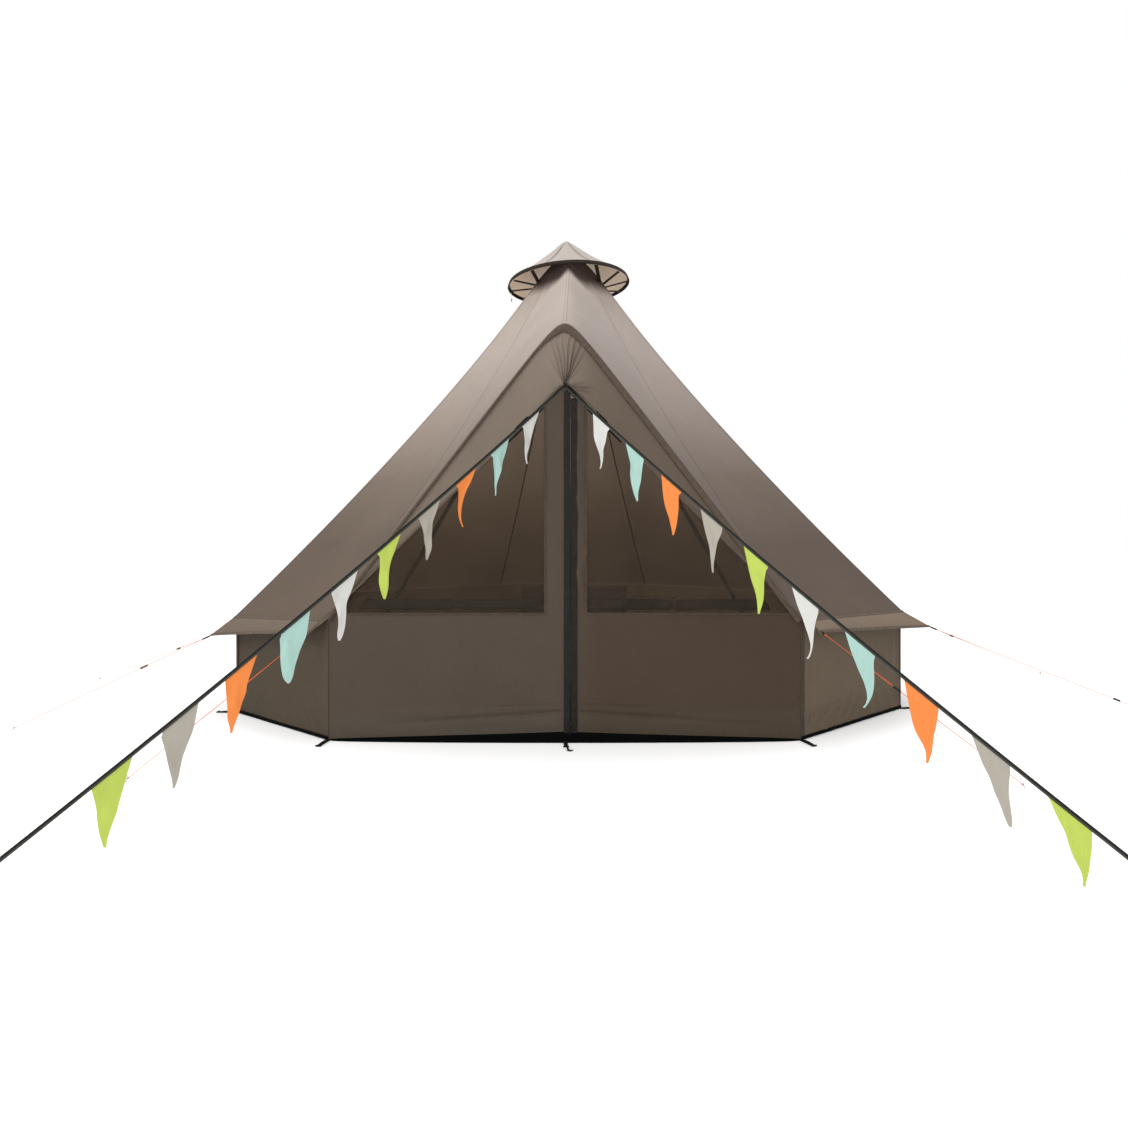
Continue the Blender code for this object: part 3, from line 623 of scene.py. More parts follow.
roofPiece, roofRows, roofRidges = makeRoof()
print("roof sheet made:", len(roofPiece.data.polygons), "faces")
seamParts, innerParts = newParts(), newParts()
for ridge in roofRidges[1:-1]:
    ridgeTape(seamParts, roofRows, ridge, roof["seamWidth"], 0.0016)
    ridgeTape(innerParts, roofRows, ridge, roof["innerTape"], -0.003)
ridgeTape(seamParts, roofRows, 0, 0.016, 0.0014)
roofSeams = addPiece("roofSeams", seamParts, "roofTape", "roof_cloth", crease=0)
innerSeams = addPiece("roofInnerTapes", innerParts, "innerSeam", "dark_webbing", crease=0)
roofExtras = [roofSeams, innerSeams, makePorchTrim()]
declare(roofPiece, 14.6, 2.95)
print("roof seams, porch hem and pole sleeve made")

# Eave skirt. The tips pulled out by the side guys have their own places
skirt = {
    "columns": 30,
    "rows": 7,
    "cornerReach": 0.13,
    "cornerDrop": 0.115,
    "sideReach": 0.07,
    "sideDrop": 0.085,
    "hem": 0.018,
    "tips": {1: Vector((-2.118, -0.945, 0.465)), 6: Vector((2.205, -0.845, 0.506))},
}


def skirtTip(index):
    corner, tip = corners[index], tent["frontTip"]
    if index in skirt["tips"]:
        return skirt["tips"][index]
    if index in (0, 7):
        return Vector((copysign(tip.x, corner.x), tip.y, tip.z + (0.018 if index else 0.008)))
    return corner + flat(corner).normalized() * skirt["cornerReach"] - up * skirt["cornerDrop"]


def skirtTape(parts, line, inner):
    path, across, facing = [], [], []
    for index, point in enumerate(line):
        way, run = (inner[index] - point).normalized(), heading(line, index)
        facing.append(toward(run.cross(way).normalized(), up))
        path.append(point + way * skirt["hem"] * 0.5 + facing[-1] * 0.001)
        across.append((way - run * way.dot(run)).normalized())
    addTape(parts, path, across, facing, skirt["hem"], 0.0018)


def skirtRows(index):
    start, end = corners[index], corners[index + 1]
    first, last = skirtTip(index), skirtTip(index + 1)
    along = (end - start).normalized()
    outward = Vector((-along.y, along.x, 0)).normalized()
    middle = start.lerp(end, 0.5) + outward * skirt["sideReach"] - up * skirt["sideDrop"]
    bulge = middle - first.lerp(last, 0.5)

    def at(fall, share):
        upper = start.lerp(end, share) + outward * 0.0012
        lower = first.lerp(last, share) + bulge * (1 - (2 * share - 1) ** 4)
        edge = min(share, 1 - share)
        wave = noiseAt(share * 7 + index * 5, fall * 1.5, 2)
        folds = sin(edge * 95 + fall * 3) * exp(-edge / 0.07) * smooth(0.0, 0.05, edge)
        held = sin(pi * min(fall, 0.9)) * smooth(0, 0.06, edge)
        lift = (0.006 * wave + 0.0035 * folds) * held + 0.010 * sin(pi * fall) * smooth(0, 0.2, edge)
        return upper.lerp(lower, fall) + (outward + up) * 0.7 * lift

    return gridOf(shares(skirt["rows"]), shares(skirt["columns"]), at)


def makeSkirt():
    parts, hem, top = newParts(), newParts(), newParts()
    for index in range(7):
        rows = skirtRows(index)
        addRows(parts, rows)
        skirtTape(hem, rows[-1], rows[-2])
        skirtTape(top, rows[0], rows[1])
    nodes = ["skirt_" + side for side in sides]
    piece = addPiece("eaveSkirt", parts, "skirt", "roof_cloth", *nodes, crease=0)
    seams = [("skirtHem", hem), ("eaveSeam", top)]
    extras = [addPiece(name, seam, "skirtSeam", "roof_cloth", crease=0) for name, seam in seams]
    declare(piece, 11.6, 0.2)


makeSkirt()
print("eave skirt made")

# Walls: one continuous sheet from the front left corner round the back to the front right
walls = {
    "columns": 110,
    "rows": [0.0046, 0.02, 0.036, 0.052, 0.068, 0.084, 0.1, 0.116, 0.132, 0.15, 0.17, 0.19, 0.215, 0.24]
    + [0.27, 0.305, 0.34, 0.375, 0.41, 0.445, 0.48, 0.51, 0.545],
    "slack": 0.007,
    "pleat": 0.04,
    "tub": 0.018,
    "seam": 0.022,
    "inset": 0.0022,
}
window = {"halfWidth": 0.53, "bottom": 0.24, "top": 0.545, "columns": 22, "beside": 5, "binding": 0.022}


def wallShares(index):
    if sides[index] != "back":
        return shares(walls["columns"])
    low = (tent["backHalfWidth"] - window["halfWidth"]) / (2 * tent["backHalfWidth"])
    beside = [low * share for share in shares(window["beside"])]
    middle = [low + (1 - 2 * low) * share for share in shares(window["columns"])]
    return beside[:-1] + middle + [1 - low + share for share in beside[1:]]


# Folds in the lower wall, slanting up from the pegged corners
def wallSlack(along, height, length, index):
    edge, away = min(along, length - along), length - along
    calm = smooth(0.0, 0.06, edge) * smooth(0.0, 0.03, height) * smooth(0.0, 0.10, 0.6 - height)
    broad = noiseAt(along * 2.1 + index * 7, height * 2.6, 1.5)
    wander = noiseAt(along * 5, height * 6, index * 3.7)
    pleat = abs(sin(29 * (abs(away - 0.62 * length) + 0.9 * height) + 1.8 * wander))
    patch = 0.8 + 0.7 * noiseAt(along * 3.1, height * 2.5, index * 1.9)
    line = 0.185 * (1 - exp(-away / 0.05)) - 0.03 * away / length + 0.006 * wander
    creases = max(0.45 - pleat, -0.05) * bell(height, 0.095, 0.066) * patch * walls["pleat"]
    creases += 0.008 * bell(height, line, 0.014)
    creases *= 0.25 if index == 0 else 1.0
    creases += 0.008 * sin(edge * 75) * exp(-edge / 0.09) * smooth(0.02, 0.2, height) * (index == 6)
    return calm * (walls["slack"] * broad + creases) * (0.35 if sides[index] == "back" else 1.0)


def inWindow(down, across):
    count, beside = len(walls["rows"]), window["beside"]
    low, high = walls["rows"].index(window["bottom"]), walls["rows"].index(window["top"])
    return beside <= across < beside + window["columns"] and count - high <= down < count - low


def makeWalls():
    parts, tub, seams = newParts(), newParts(), newParts()
    for index, side in enumerate(sides):
        low, high = corners[index], corners[index + 1]
        start, end = flat(low), flat(high)
        along, length = (end - start).normalized(), (end - start).length
        outward = Vector((-along.y, along.x, 0))

        def at(level, share):
            height = level or low.z + (high.z - low.z) * share - 0.0068
            depth = wallSlack(share * length, height, length, index) - walls["inset"]
            return flat(start.lerp(end, share), height) + outward * depth

        rows = gridOf([None] + walls["rows"][::-1], wallShares(index), at)
        addRows(parts, rows, skip=inWindow if side == "back" else None)
        rise = up * (walls["tub"] / 2 + 0.004) + outward * 0.0012
        addTape(tub, [point + rise for point in between(start, end, 20)], up, outward, walls["tub"], 0.002)
        for last, corner, share in ((0, low, 0.016 / length), (1, high, 1 - 0.016 / length)):
            if index + last:
                foot = flat(low.lerp(high, share), 0.01) + outward * 0.0004
                line = between(foot, flat(foot, corner.z - 0.012), 24)
                addTape(seams, line, along, outward, walls["seam"], 0.0018)
    piece = addPiece("wallSheet", parts, "wall", "wall_cloth", *["wall_" + side for side in sides])
    addPiece("tubEdge", tub, "floor", "groundsheet_black")
    seamPiece = addPiece("wallCornerSeams", seams, "binding", "wall_cloth")
    declare(piece, 10.9, 0.62)


def makeWindow():
    y, wide, tall = halfWidth - walls["inset"], 2 * window["halfWidth"], window["top"] - window["bottom"]

    def at(fall, share):
        x, z = wide * share - window["halfWidth"], window["top"] - tall * fall
        belly = 0.004 * sin(pi * share) * sin(pi * fall) + 0.0012 * noiseAt(x * 4, z * 6, 0)
        return Vector((x, y - 0.001 + belly, z))

    parts = sheetParts(gridOf(shares(8), shares(24), at), turned=True)
    pane = addPiece("windowPane", parts, "film", "window_film", "window_back", crease=40)
    trim = newParts()
    half, low, high = window["halfWidth"] + 0.006, window["bottom"] - 0.006, window["top"] + 0.006
    ring = [Vector((x, y, z)) for x, z in ((-half, low), (half, low), (half, high), (-half, high))]
    for first, second in zip(ring, ring[1:] + ring[:1]):
        inward = (second - first).normalized().cross(toFront)
        for face in (toBack, toFront):
            line = [point + face * 0.0016 for point in between(first, second, 16)]
            addTape(trim, line, inward, face, window["binding"], 0.0016)
    trimPiece = addPiece("windowBinding", trim, "binding", "wall_cloth")
    declare(pane, wide, tall)


makeWalls()
makeWindow()
print("walls and back window made")

# Groundsheet with its peg loops, and the front sill
ground = {
    "rings": 14,
    "loopReach": 0.12,
    "loopWidth": 0.02,
    "loopWays": {0: (-0.1, -1), 1: (-1, 0.02), 6: (1, 0.02), 7: (0.3, -1)},
    "hook": [(0.012, -0.13, 0.012), (0.018, -0.155, 0.009), (0.02, -0.182, 0.006), (0.034, -0.19, 0.005)]
    + [(0.046, -0.18, 0.006)],
    "hookRadii": [0.005, 0.005, 0.005, 0.0035, 0.002],
    "sillBulge": 0.044,
    "sillRise": 0.053,
}


# A folded webbing loop that lies on the ground and rises a little at its end, where the peg goes
def addLoop(parts, root, outward, reach):
    across = Vector((outward.y, -outward.x, 0))
    for lift, open in ((0.0018, 0.0), (0.0042, 0.004)):
        gaps = [lift + open * sin(pi * min(share * 1.05, 1)) for share in shares(12)]
        line = [root + outward * (reach * share - 0.01) + up * gap for share, gap in zip(shares(12), gaps)]
        addTape(parts, line, across, up, ground["loopWidth"], 0.0018)
    end = root + outward * (reach - 0.012) + up * 0.005
    addTube(parts, [end - across * 0.014, end + across * 0.014], 0.004)


def makeGround():
    edge = []
    for index in range(8):
        edge += between(flat(corners[index]), flat(corners[(index + 1) % 8]), 12)[:-1]
    edge.append(edge[0])
    rows = []
    for share in shares(ground["rings"]):
        places = [point * share for point in edge]
        rows.append([flat(place, 0.0026 + 0.0016 * noise.noise(place * 3.0)) for place in places])
    parts = sheetParts(rows, [[(p.x, p.y) for p in row] for row in rows])
    sheet = addPiece("groundsheetSheet", parts, "floor", "groundsheet_black", "groundsheet", crease=0)
    loops = newParts()
    for index in range(8):
        corner = flat(corners[index])
        outward = Vector((*ground["loopWays"].get(index, corner.xy), 0)).normalized()
        addLoop(loops, corner, outward, ground["loopReach"])
    addLoop(loops, Vector((0.004, frontY - 0.03, 0)), Vector((0.06, -1, 0)).normalized(), 0.10)
    addTube(loops, [Vector((x, y + frontY, z)) for x, y, z in ground["hook"]], ground["hookRadii"])
    loopPiece = addPiece("pegLoops", loops, "webbing", "groundsheet_black")
    declare(sheet, 4.1, 3.6)


def makeSill():
    inset, low = frontWide - 0.006, 0.0012

    def at(fall, share):
        x = inset * (2 * share - 1)
        z = low + (ground["sillRise"] - 0.040 * (abs(x) / inset) - low) * (1 - fall)
        forward = ground["sillBulge"] * sqrt(max(1 - (x / inset) ** 2, 0)) * fall**1.5
        return Vector((x, doorY + 0.0052 - 0.012 * fall - forward, z))

    parts = sheetParts(gridOf(shares(5), shares(48), at))
    piece = addPiece("frontSill", parts, "floor", "groundsheet_black", "front_sill", crease=40)
    declare(piece, 2 * inset, 0.085)


makeGround()
makeSill()
print("groundsheet, loops and sill made")

# The gable over the door. Folds run out from its peak: each has its angle, width, depth and reach
gable = {
    "halfWidth": 1.165,
    "columns": 150,
    "rows": 70,
    "folds": [
        (-1.66, 0.05, 0.4, 0.1), (-0.56, 0.05, 0.4, 0.2), (-0.36, 0.034, 0.6, 0.28), (-0.2, 0.03, 0.8, 0.3),
        (-0.05, 0.024, 0.5, 0.32), (0.09, 0.026, 0.8, 0.32), (0.22, 0.026, 1.1, 0.32),
        (0.34, 0.028, 1.1, 0.3),
        (0.47, 0.032, 0.8, 0.26), (0.66, 0.045, 0.4, 0.18), (1.35, 0.05, 0.6, 0.14), (1.58, 0.045, 0.9, 0.18),
        (1.8, 0.04, 0.9, 0.18),
    ],
    "foldDepth": 0.0085,
    "lift": 0.024,
    "hem": 0.011,
    "shadeBandReach": 0.3,
    "shadeBandWidth": 0.034,
}


def gableFold(x, z):
    down = z - tent["doorPeak"] + 0.004
    reach, turn, depth = hypot(x, down), atan2(x, down), 0.0
    for centre, width, tall, length in gable["folds"]:
        off = turn - centre - 0.05 * noiseAt(reach * 7, centre * 5, 0)
        wide = width * (1 + 0.012 / (reach + 0.012))
        shape = bell(off, 0, wide) - 0.6 * bell(off, 1.7 * wide, wide)
        depth += tall * shape * smooth(0.0, 0.035, reach) * (1 - smooth(length * 0.55, length, reach))
    return 0.005 * noiseAt(x * 2.4, z * 2.0, 4) * smooth(0.05, 0.3, reach) - gable["foldDepth"] * depth


# The gable's hem stands a little above the strap near the peak, and shows the gap behind, where a black band
# of painted shade lies
def gableHem(x):
    wide, tall = ((0.05, 0.24), 1.0) if x > 0 else ((0.03, 0.2), 0.55)
    gap = smooth(0.0, 0.03, abs(x)) * (1 - smooth(*wide, abs(x)))
    return doorEdge(x) + gable["lift"] * gap * tall


# The way across a tape that runs straight in the plane of the entrance
def acrossFront(line):
    return toBack.cross((line[-1] - line[0]).normalized()).normalized()


def gableAt(fall, x):
    top = porchEdge(x) - tent["porchGap"]
    z = top + (min(gableHem(x), top - 0.001) - top) * fall
    return Vector((x, frontY + 0.002 + gableFold(x, z) * smooth(0, 0.04, fall), z))


def makeGable():
    rows = gridOf(shares(gable["rows"]), spaced(gable["columns"], 1.7, gable["halfWidth"]), gableAt)
    nodes = ["gable_left", "gable_right"]
    piece = addPiece("gableSheet", sheetParts(rows), "gable", "wall_cloth", *nodes, crease=40)
    edge, shadeBand = newParts(), newParts()
    for sign in (-1, 1):
        line = []
        for share in shares(60):
            x = sign * tent["frontTip"].x * share
            y = frontY - 0.001 - 0.052 * smooth(0.78, 1.0, share) + 0.0015 * noiseAt(share * 14, sign, 0)
            line.append(Vector((x, y, gableHem(x) + 0.005)))
        addTape(edge, line, acrossFront(line), toFront, gable["hem"], 0.002)
        # Painted shade: a black band behind the lifted hem stands in for the dark inside of the tent seen
        # through the gap
        reaches = [gable["shadeBandReach"] * share for share in shares(12)]
        line = [Vector((sign * reach, frontY + 0.0042, doorEdge(reach) + 0.008)) for reach in reaches]
        addTape(shadeBand, line, acrossFront(line), toFront, gable["shadeBandWidth"], 0.0012)
    binding = addPiece("gableBinding", edge, "hemTape", "wall_cloth")
    declare(piece, 3.4, 0.3)
    addPiece("gapShadeBand", shadeBand, "webbing", "dark_webbing")
    print("gable made, area", round(clothArea(piece), 2))


# Short ends of black string, knotted at the peak where the two straps leave
def makePeakKnots():
    parts = newParts()
    peak = Vector((0.004, frontY - 0.006, tent["doorPeak"] + 0.002))
    ends = [(-0.016, -0.01, 0.006), (0.018, -0.012, 0.009), (-0.006, -0.008, 0.014), (0.012, -0.014, -0.004)]
    for x, y, z in ends:
        middle = peak + Vector((x * 0.5, y * 0.8, z * 0.5 + 0.003))
        addTube(parts, [peak, middle, peak + Vector((x, y * 0.4, z))], [0.0026, 0.0019, 0.0015], 6)
    addTube(parts, hoop(peak + toFront * 0.002, toRight * 0.006, up * 0.005, 14), 0.0022, 6, closed=True)
    addPiece("peakKnots", parts, "plastic", "dark_webbing")


makeGable()
makePeakKnots()

# Door: two cloth halves with netting above, a zip between them, rolled blinds inside
door = {
    "bandShift": 0.03,
    "bandHalf": 0.034,
    "borders": {-1: -0.102, 1: 0.110},
    "corner": 1.2225,
    "netCorner": 1.197,
    "trimCorner": 1.19,
    "trim": 0.012,
    "rollHeight": 0.7,
    "rollRadius": 0.031,
    "rollEnds": (0.1, 1.07),
    "tieAt": 0.57,
}


def doorTop(x):
    return min(waist, porchEdge(x) - tent["porchGap"])


# Slack of the lower cloth: a soft hang, puckers near the floor, a sagging fold and two narrow ones over it
def doorSlack(x, z, away):
    hang = 0.004 * noiseAt(x * 1.8, z * 1.5, 7)
    hang += 0.008 * noiseAt(x * 2 - z * 4, z * 16, 3) * bell(z, 0.11, 0.06)
    hang += 0.011 * bell(z, 0.146 - 0.069 * away, 0.013) * smooth(1.2, 0.3, away)
    hang += 0.0045 * bell(z, 0.184 - 0.03 * away, 0.0055) * smooth(0.62, 0.2, away)
    return hang + 0.0035 * bell(z, 0.171, 0.005) * smooth(0.2, 0.08, away)


def makeDoorHalf(side, sign):
    inner, border = door["bandShift"] + sign * (door["bandHalf"] - 0.012), door["borders"][sign]

    def bandAt(fall, across):
        x = inner + (border - inner) * across
        top = doorEdge(x) + 0.012
        z = top + (waist - top) * fall
        slant = 0.0065 * noiseAt(across * 2.2 + z * 5.5 * sign, z * 7.5, sign * 3)
        held = smooth(0, 0.06, fall) * smooth(0, 0.06, 1 - fall)
        slant *= smooth(0, 0.3, min(across, 1 - across) + 0.15) * held
        return Vector((x, doorY - 0.001 - 0.003 * sin(pi * across) * smooth(0, 0.1, 1 - fall) + slant, z))

    def lowerAt(fall, x):
        reach, away = abs(x) / door["corner"], abs(x - inner)
        low = tent["sillRise"] * (1 - reach) + 0.005 * reach
        z = doorTop(x) + (low - doorTop(x)) * fall
        hold = smooth(0, 0.05, away) * smooth(0, 0.05, door["corner"] - abs(x)) * smooth(0, 0.02, z - low)
        return Vector((x, doorY - 0.001 + doorSlack(x, z, away) * hold, z))

    def netAt(fall, share):
        x = border + (sign * door["netCorner"] - border) * share
        top = max(min(doorEdge(x) + 0.014, porchEdge(x) - 0.02), waist + 0.0006)
        z = top + (waist - 0.004 - top) * fall
        belly = 0.012 * sin(pi * share) * sin(pi * fall) * noiseAt(x * 2, z * 2, 9)
        return Vector((x, doorY + 0.001 + belly, z))

    falls = [0.055 * step for step in range(12)] + [0.66 + 0.34 * share for share in shares(48)]
    columns = [inner + (border - inner) * share for share in shares(8)]
    columns += [border + (sign * door["corner"] - border) * share for share in shares(34)[1:]]
    parts = sheetParts(gridOf(falls, columns, lowerAt), turned=sign < 0)
    addRows(parts, gridOf(shares(40), shares(8), bandAt), turned=sign < 0)
    name = "doorCloth_" + side
    piece = addPiece(name, parts, "door", "wall_cloth", "door_" + side)
    parts = sheetParts(gridOf(shares(30), shares(30), netAt), turned=sign < 0)
    netPiece = addPiece("doorNet_" + side, parts, "netting", "door_netting", "door_mesh_" + side, crease=40)
    trim, y = newParts(), doorY - 0.0035
    post = [Vector((border, y, z)) for z in (waist, doorEdge(border))]
    addTape(trim, between(*post, 30), toRight, toFront, door["trim"], 0.0014)
    rail = [Vector((x, y, waist - 0.004)) for x in (border, sign * door["trimCorner"])]
    addTape(trim, between(*rail, 30), up, toFront, door["trim"], 0.0014)
    trimPiece = addPiece("doorTrim_" + side, trim, "binding", "wall_cloth")
    declare(piece, 1.25, 1.85)
    declare(netPiece, 1.2, 1.25)


def makeZip():
    tape, slider = newParts(), newParts()
    shift, half, low, y = door["bandShift"], door["bandHalf"], tent["sillRise"] - 0.006, frontY + 0.001
    for sign in (-1, 1):
        centre = shift + sign * (half / 2 + 0.001)
        peak = doorEdge(centre + half / 2) - 0.004
        levels = [low + (peak - low) * share for share in shares(72)]
        line = [Vector((centre + 0.0012 * noiseAt(z * 3, sign, 0), y, z)) for z in levels]
        addTape(tape, line, toRight, toFront, half - 0.001, 0.002)
    addPiece("zipTape", tape, "zip", "dark_webbing", "zip_band")
    line = []
    for step, share in enumerate(shares(900)):
        x, depth = shift + 0.0022 * cos(step * 1.9), 0.001 * sin(step * 1.9) - 0.0022
        line.append(Vector((x, y + depth, low + (peak - low) * share)))
    addPiece("zipCoil", addTube(newParts(), line, 0.0007, 4), "plastic", "dark_webbing", crease=0)
    z = low + 0.03
    body = [Vector((shift, y - 0.004, z + rise)) for rise in (0, 0.004, 0.016, 0.024, 0.028)]
    addTube(slider, body, [0.0045, 0.0065, 0.007, 0.0055, 0.003], 10)
    ring = hoop(Vector((shift, y - 0.0105, z - 0.004)), toRight * 0.006, up * 0.01, 16)
    addTube(slider, ring, 0.0013, 6, closed=True)
    tail = []
    for step in range(7):
        sway = 0.0115 + 0.002 * sin(step * 0.5)
        tail.append(Vector((shift + 0.004 * sin(step * 0.8), y - sway, z - 0.012 - 0.0045 * step)))
    addTube(slider, tail, [0.0022] * 6 + [0.0034], 6)
    addPiece("zipSlider", slider, "plastic", "dark_webbing", crease=40)


# The blinds of the netting, rolled down to the door's waist and held by a toggle
def makeRoll(side, sign):
    size, (first, last), turns = door["rollRadius"], door["rollEnds"], turnsOf(18)
    centre = Vector((sign * door["tieAt"], doorY + 0.0036 + size, door["rollHeight"]))

    def at(share, turn):
        along = first + (last - first) * share
        slump = 0.005 * noiseAt(along * 4, sign * 2, 0)
        pinch = 1 - 0.22 * bell(along, door["tieAt"], 0.016)
        lumps = 1 + 0.09 * noiseAt(along * 7, cos(turn) * 1.4, sin(turn) * 1.4 + sign)
        lap = 1 + 0.07 * ((turn / (2 * pi) + 0.3) % 1.0)
        radius = size * lumps * lap * pinch * 0.93
        high, deep = cos(turn) * radius, sin(turn) * radius * 0.92
        shear = 0.72 * (high + size) * smooth(0.75, 1.0, share)
        return Vector((sign * (along - shear), centre.y + deep, centre.z + slump + high))

    rows = gridOf(shares(70), turns, at)
    uvs = [[(turn * size, first + (last - first) * share) for turn in turns] for share in shares(70)]
    parts = sheetParts(rows, uvs, turned=sign < 0)
    for end, way in ((0, -sign), (-1, sign)):
        middle = sum(rows[end][:-1], Vector()) / 18
        spiral = []
        for reach in (1, 0.82, 0.64, 0.46, 0.28, 0.1, 0.0):
            off = toRight * way * 0.002 * sin(reach * 14)
            spiral.append([middle.lerp(point, reach) + off for point in rows[end]])
        addRows(parts, spiral, turned=way < 0)
    roll = addPiece("rolledBlind_" + side, parts, "dark", "dark_webbing", "rolled_curtain_" + side, crease=60)
    tie = addTube(newParts(), hoop(centre, up * 0.0295, toBack * 0.0275, 20), 0.0022, 6, closed=True)
    bar = [centre + Vector((x, -0.004, z)) for x, z in ((-0.016, 0.035), (0, 0.033), (0.016, 0.043))]
    addTube(tie, bar, [0.003, 0.0042, 0.003])
    addPiece("blindToggle_" + side, tie, "plastic", "dark_webbing", crease=40)


makeDoorHalf("left", -1)
makeDoorHalf("right", 1)
print("door halves and netting made")
makeZip()
makeRoll("left", -1)
makeRoll("right", 1)
print("zip and rolled blinds made")

# Vent cap on its hoop, with tapes beneath and short dark straps that tie the rim to the roof
cap = {
    "height": 3.197,
    "radius": 0.429,
    "depth": 0.316,
    "topSlope": 0.89,
    "tilt": 3.4,
    "gores": 8,
    "around": 128,
    "rows": 22,
    "blunt": 0.014,
    "lining": 0.005,
    "rimWidth": 0.028,
    "tapeWidth": 0.026,
    "hubRadius": 0.032,
    "straps": 10,
    "strapTurn": -4,
    "strapStart": 31,
    "strapStep": 29.5,
    "strapGather": 0.45,
    "strapWidth": 0.03,
    "strapFall": 0.12,
    "strapTop": 0.016,
    "cordTurn": 171,
    "cordLength": 0.04,
}


def capFall(radius):
    flare = (cap["topSlope"] * cap["radius"] - cap["depth"]) / cap["radius"] ** 2
    return cap["topSlope"] * (hypot(radius, cap["blunt"]) - cap["blunt"] * 0.4) - flare * radius**2


def capTurn():
    peak = Matrix.Translation((-tent["poleLean"], 0, cap["height"]))
    turned = Matrix.Rotation(-radians(cap["tilt"]), 4, "Y")
    return peak @ turned @ Matrix.Translation((0, 0, -cap["height"]))


def onCap(out, radius, drop):
    return out * radius + up * (cap["height"] - capFall(radius) - drop)


def capPoint(radius, turn, drop):
    fade = sin(pi * min(radius / cap["radius"], 1.0))
    dip = 0.0045 * (1 - cos(cap["gores"] * turn))
    crumple = 0.0018 * noiseAt(radius * 6, cos(turn) * 2, sin(turn) * 2)
    return onCap(outAt(turn), radius, drop + (dip - crumple) * fade)


# Where a strap from the rim meets the roof, on the line that runs down and in from the rim
def roofTouch(turn):
    out, best, found = outAt(turn), 1e9, None
    rim = cap["height"] - cap["depth"] - cap["strapTop"]
    for point in [point for row in roofRows[2:14] for point in row[:-1]]:
        level = flat(point)
        if level.normalized().dot(out) < 0.985:
            continue
        height = rim - cap["strapFall"] * (cap["radius"] - level.length)
        miss = abs(point.z - height) + (level - out * level.length).length
        if miss < best:
            best, found = miss, point
    return found + out * 0.002


def capPiece(name, parts, finish, slotName, *nodes, crease=50, turn=0.0):
    piece = makeMesh(name, parts, crease)
    piece.data.transform(capTurn() @ Matrix.Rotation(turn, 4, "Z"))
    return fit(piece, finish, slotName, *nodes)


def makeCap():
    turns, size, sheets = turnsOf(cap["around"]), cap["radius"], []
    kinds = [("capCloth", 0.0, "cap", ["cap_cone"]), ("capLining", cap["lining"], "lining", [])]
    for name, drop, finish, nodes in kinds:
        rows, uvs = [], []
        for share in shares(cap["rows"]):
            rows.append([capPoint(max(size * share**0.9, 0.0005), turn, drop) for turn in turns])
            uvs.append([(turn * size * share, -size * share) for turn in turns])
        parts = sheetParts(rows, uvs, turned=drop == 0)
        sheets.append(capPiece(name, parts, finish, "roof_cloth", *nodes, crease=0))
    outs = [outAt(turn) for turn in turns[:-1]]
    line = [onCap(out, size, 0.009) + out * 0.002 for out in outs]
    lean = [(up * 0.92 - out * 0.38).normalized() for out in outs]
    face = [(out * 0.92 + up * 0.38).normalized() for out in outs]
    rim = addTape(newParts(), line, lean, face, cap["rimWidth"], 0.008, closed=True)
    rimPiece = capPiece("capRim", rim, "rim", "dark_webbing", "cap_rim")
    seams, stays, straps = newParts(), newParts(), newParts()
    for turn in turnsOf(cap["gores"])[:-1]:
        out, across = outAt(turn), outAt(turn + pi / 2)
        away = (out * 0.6 + up * 0.8).normalized()
        over = [onCap(out, 0.018 + (size - 0.022) * share, -0.0002) for share in shares(20)]
        under = [onCap(out, 0.03 + (size - 0.045) * share, 0.0085) for share in shares(20)]
        addTape(seams, over, across, away, 0.01, 0.0006)
        addTape(stays, under, across, -away, cap["tapeWidth"], 0.003)
    for strap in range(cap["straps"]):  # half of them on each side, drawn in towards the tent's side seams
        sign = 1 if strap % 2 else -1
        away = cap["strapStart"] + cap["strapStep"] * (strap // 2)
        turn = radians(-90 + cap["strapTurn"] + sign * away)
        drawn = radians(-90 + sign * (90 + (away - 90) * cap["strapGather"]))
        out, across = outAt(turn), outAt(turn + pi / 2)
        top = out * (size - 0.008) + up * (cap["height"] - cap["depth"] - cap["strapTop"])
        foot = capTurn().inverted() @ roofTouch(drawn)
        facing = across.cross(foot - top).normalized()
        addTape(straps, between(top, foot, 8), across, facing, cap["strapWidth"], 0.002)
    low = up * (cap["height"] - capFall(cap["hubRadius"] + 0.002) - 0.011)
    hub = [out * cap["hubRadius"] + low for out in outs[::4]]
    addTape(stays, hub, outs[::4], -up, cap["tapeWidth"], 0.003, closed=True)
    seamPiece = capPiece("capSeams", seams, "cap", "roof_cloth", turn=pi / cap["gores"])
    stayPiece = capPiece("capStays", stays, "lining", "dark_webbing", "cap_stays")
    capPiece("ventStraps", straps, "rim", "dark_webbing")
    declare(sheets[0], 0.96, 0.96)
    declare(sheets[1], 0.96, 0.96)


def makeCapCord():
    top = capTurn() @ onCap(outAt(radians(cap["cordTurn"])), cap["radius"], 0.0198)
    top.z -= 0.0004
    curve = bpy.data.curves.new("capCord", "CURVE")
    curve.dimensions = "3D"
    curve.bevel_depth = 0.0015
    curve.bevel_resolution = 2
    curve.use_fill_caps = True
    line = curve.splines.new("POLY")
    line.points.add(16)
    for step, share in enumerate(shares(16)):
        line.points[step].co = (top.x + 0.004 * share**2, top.y, top.z - cap["cordLength"] * share, 1)
    cord = fit(addObject("capCord", curve), "lining", "guy_orange", "cap_cord")
    end = top + Vector((0.004, 0, -0.0404))
    line = [end - up * fall for fall in (0, 0.004, 0.02, 0.025)]
    parts = addTube(newParts(), line, [0.0022, 0.003, 0.003, 0.0022], 10)
    sleeve = addPiece("cordEnd", parts, "plastic", "dark_webbing", "cord_sleeve", crease=40)


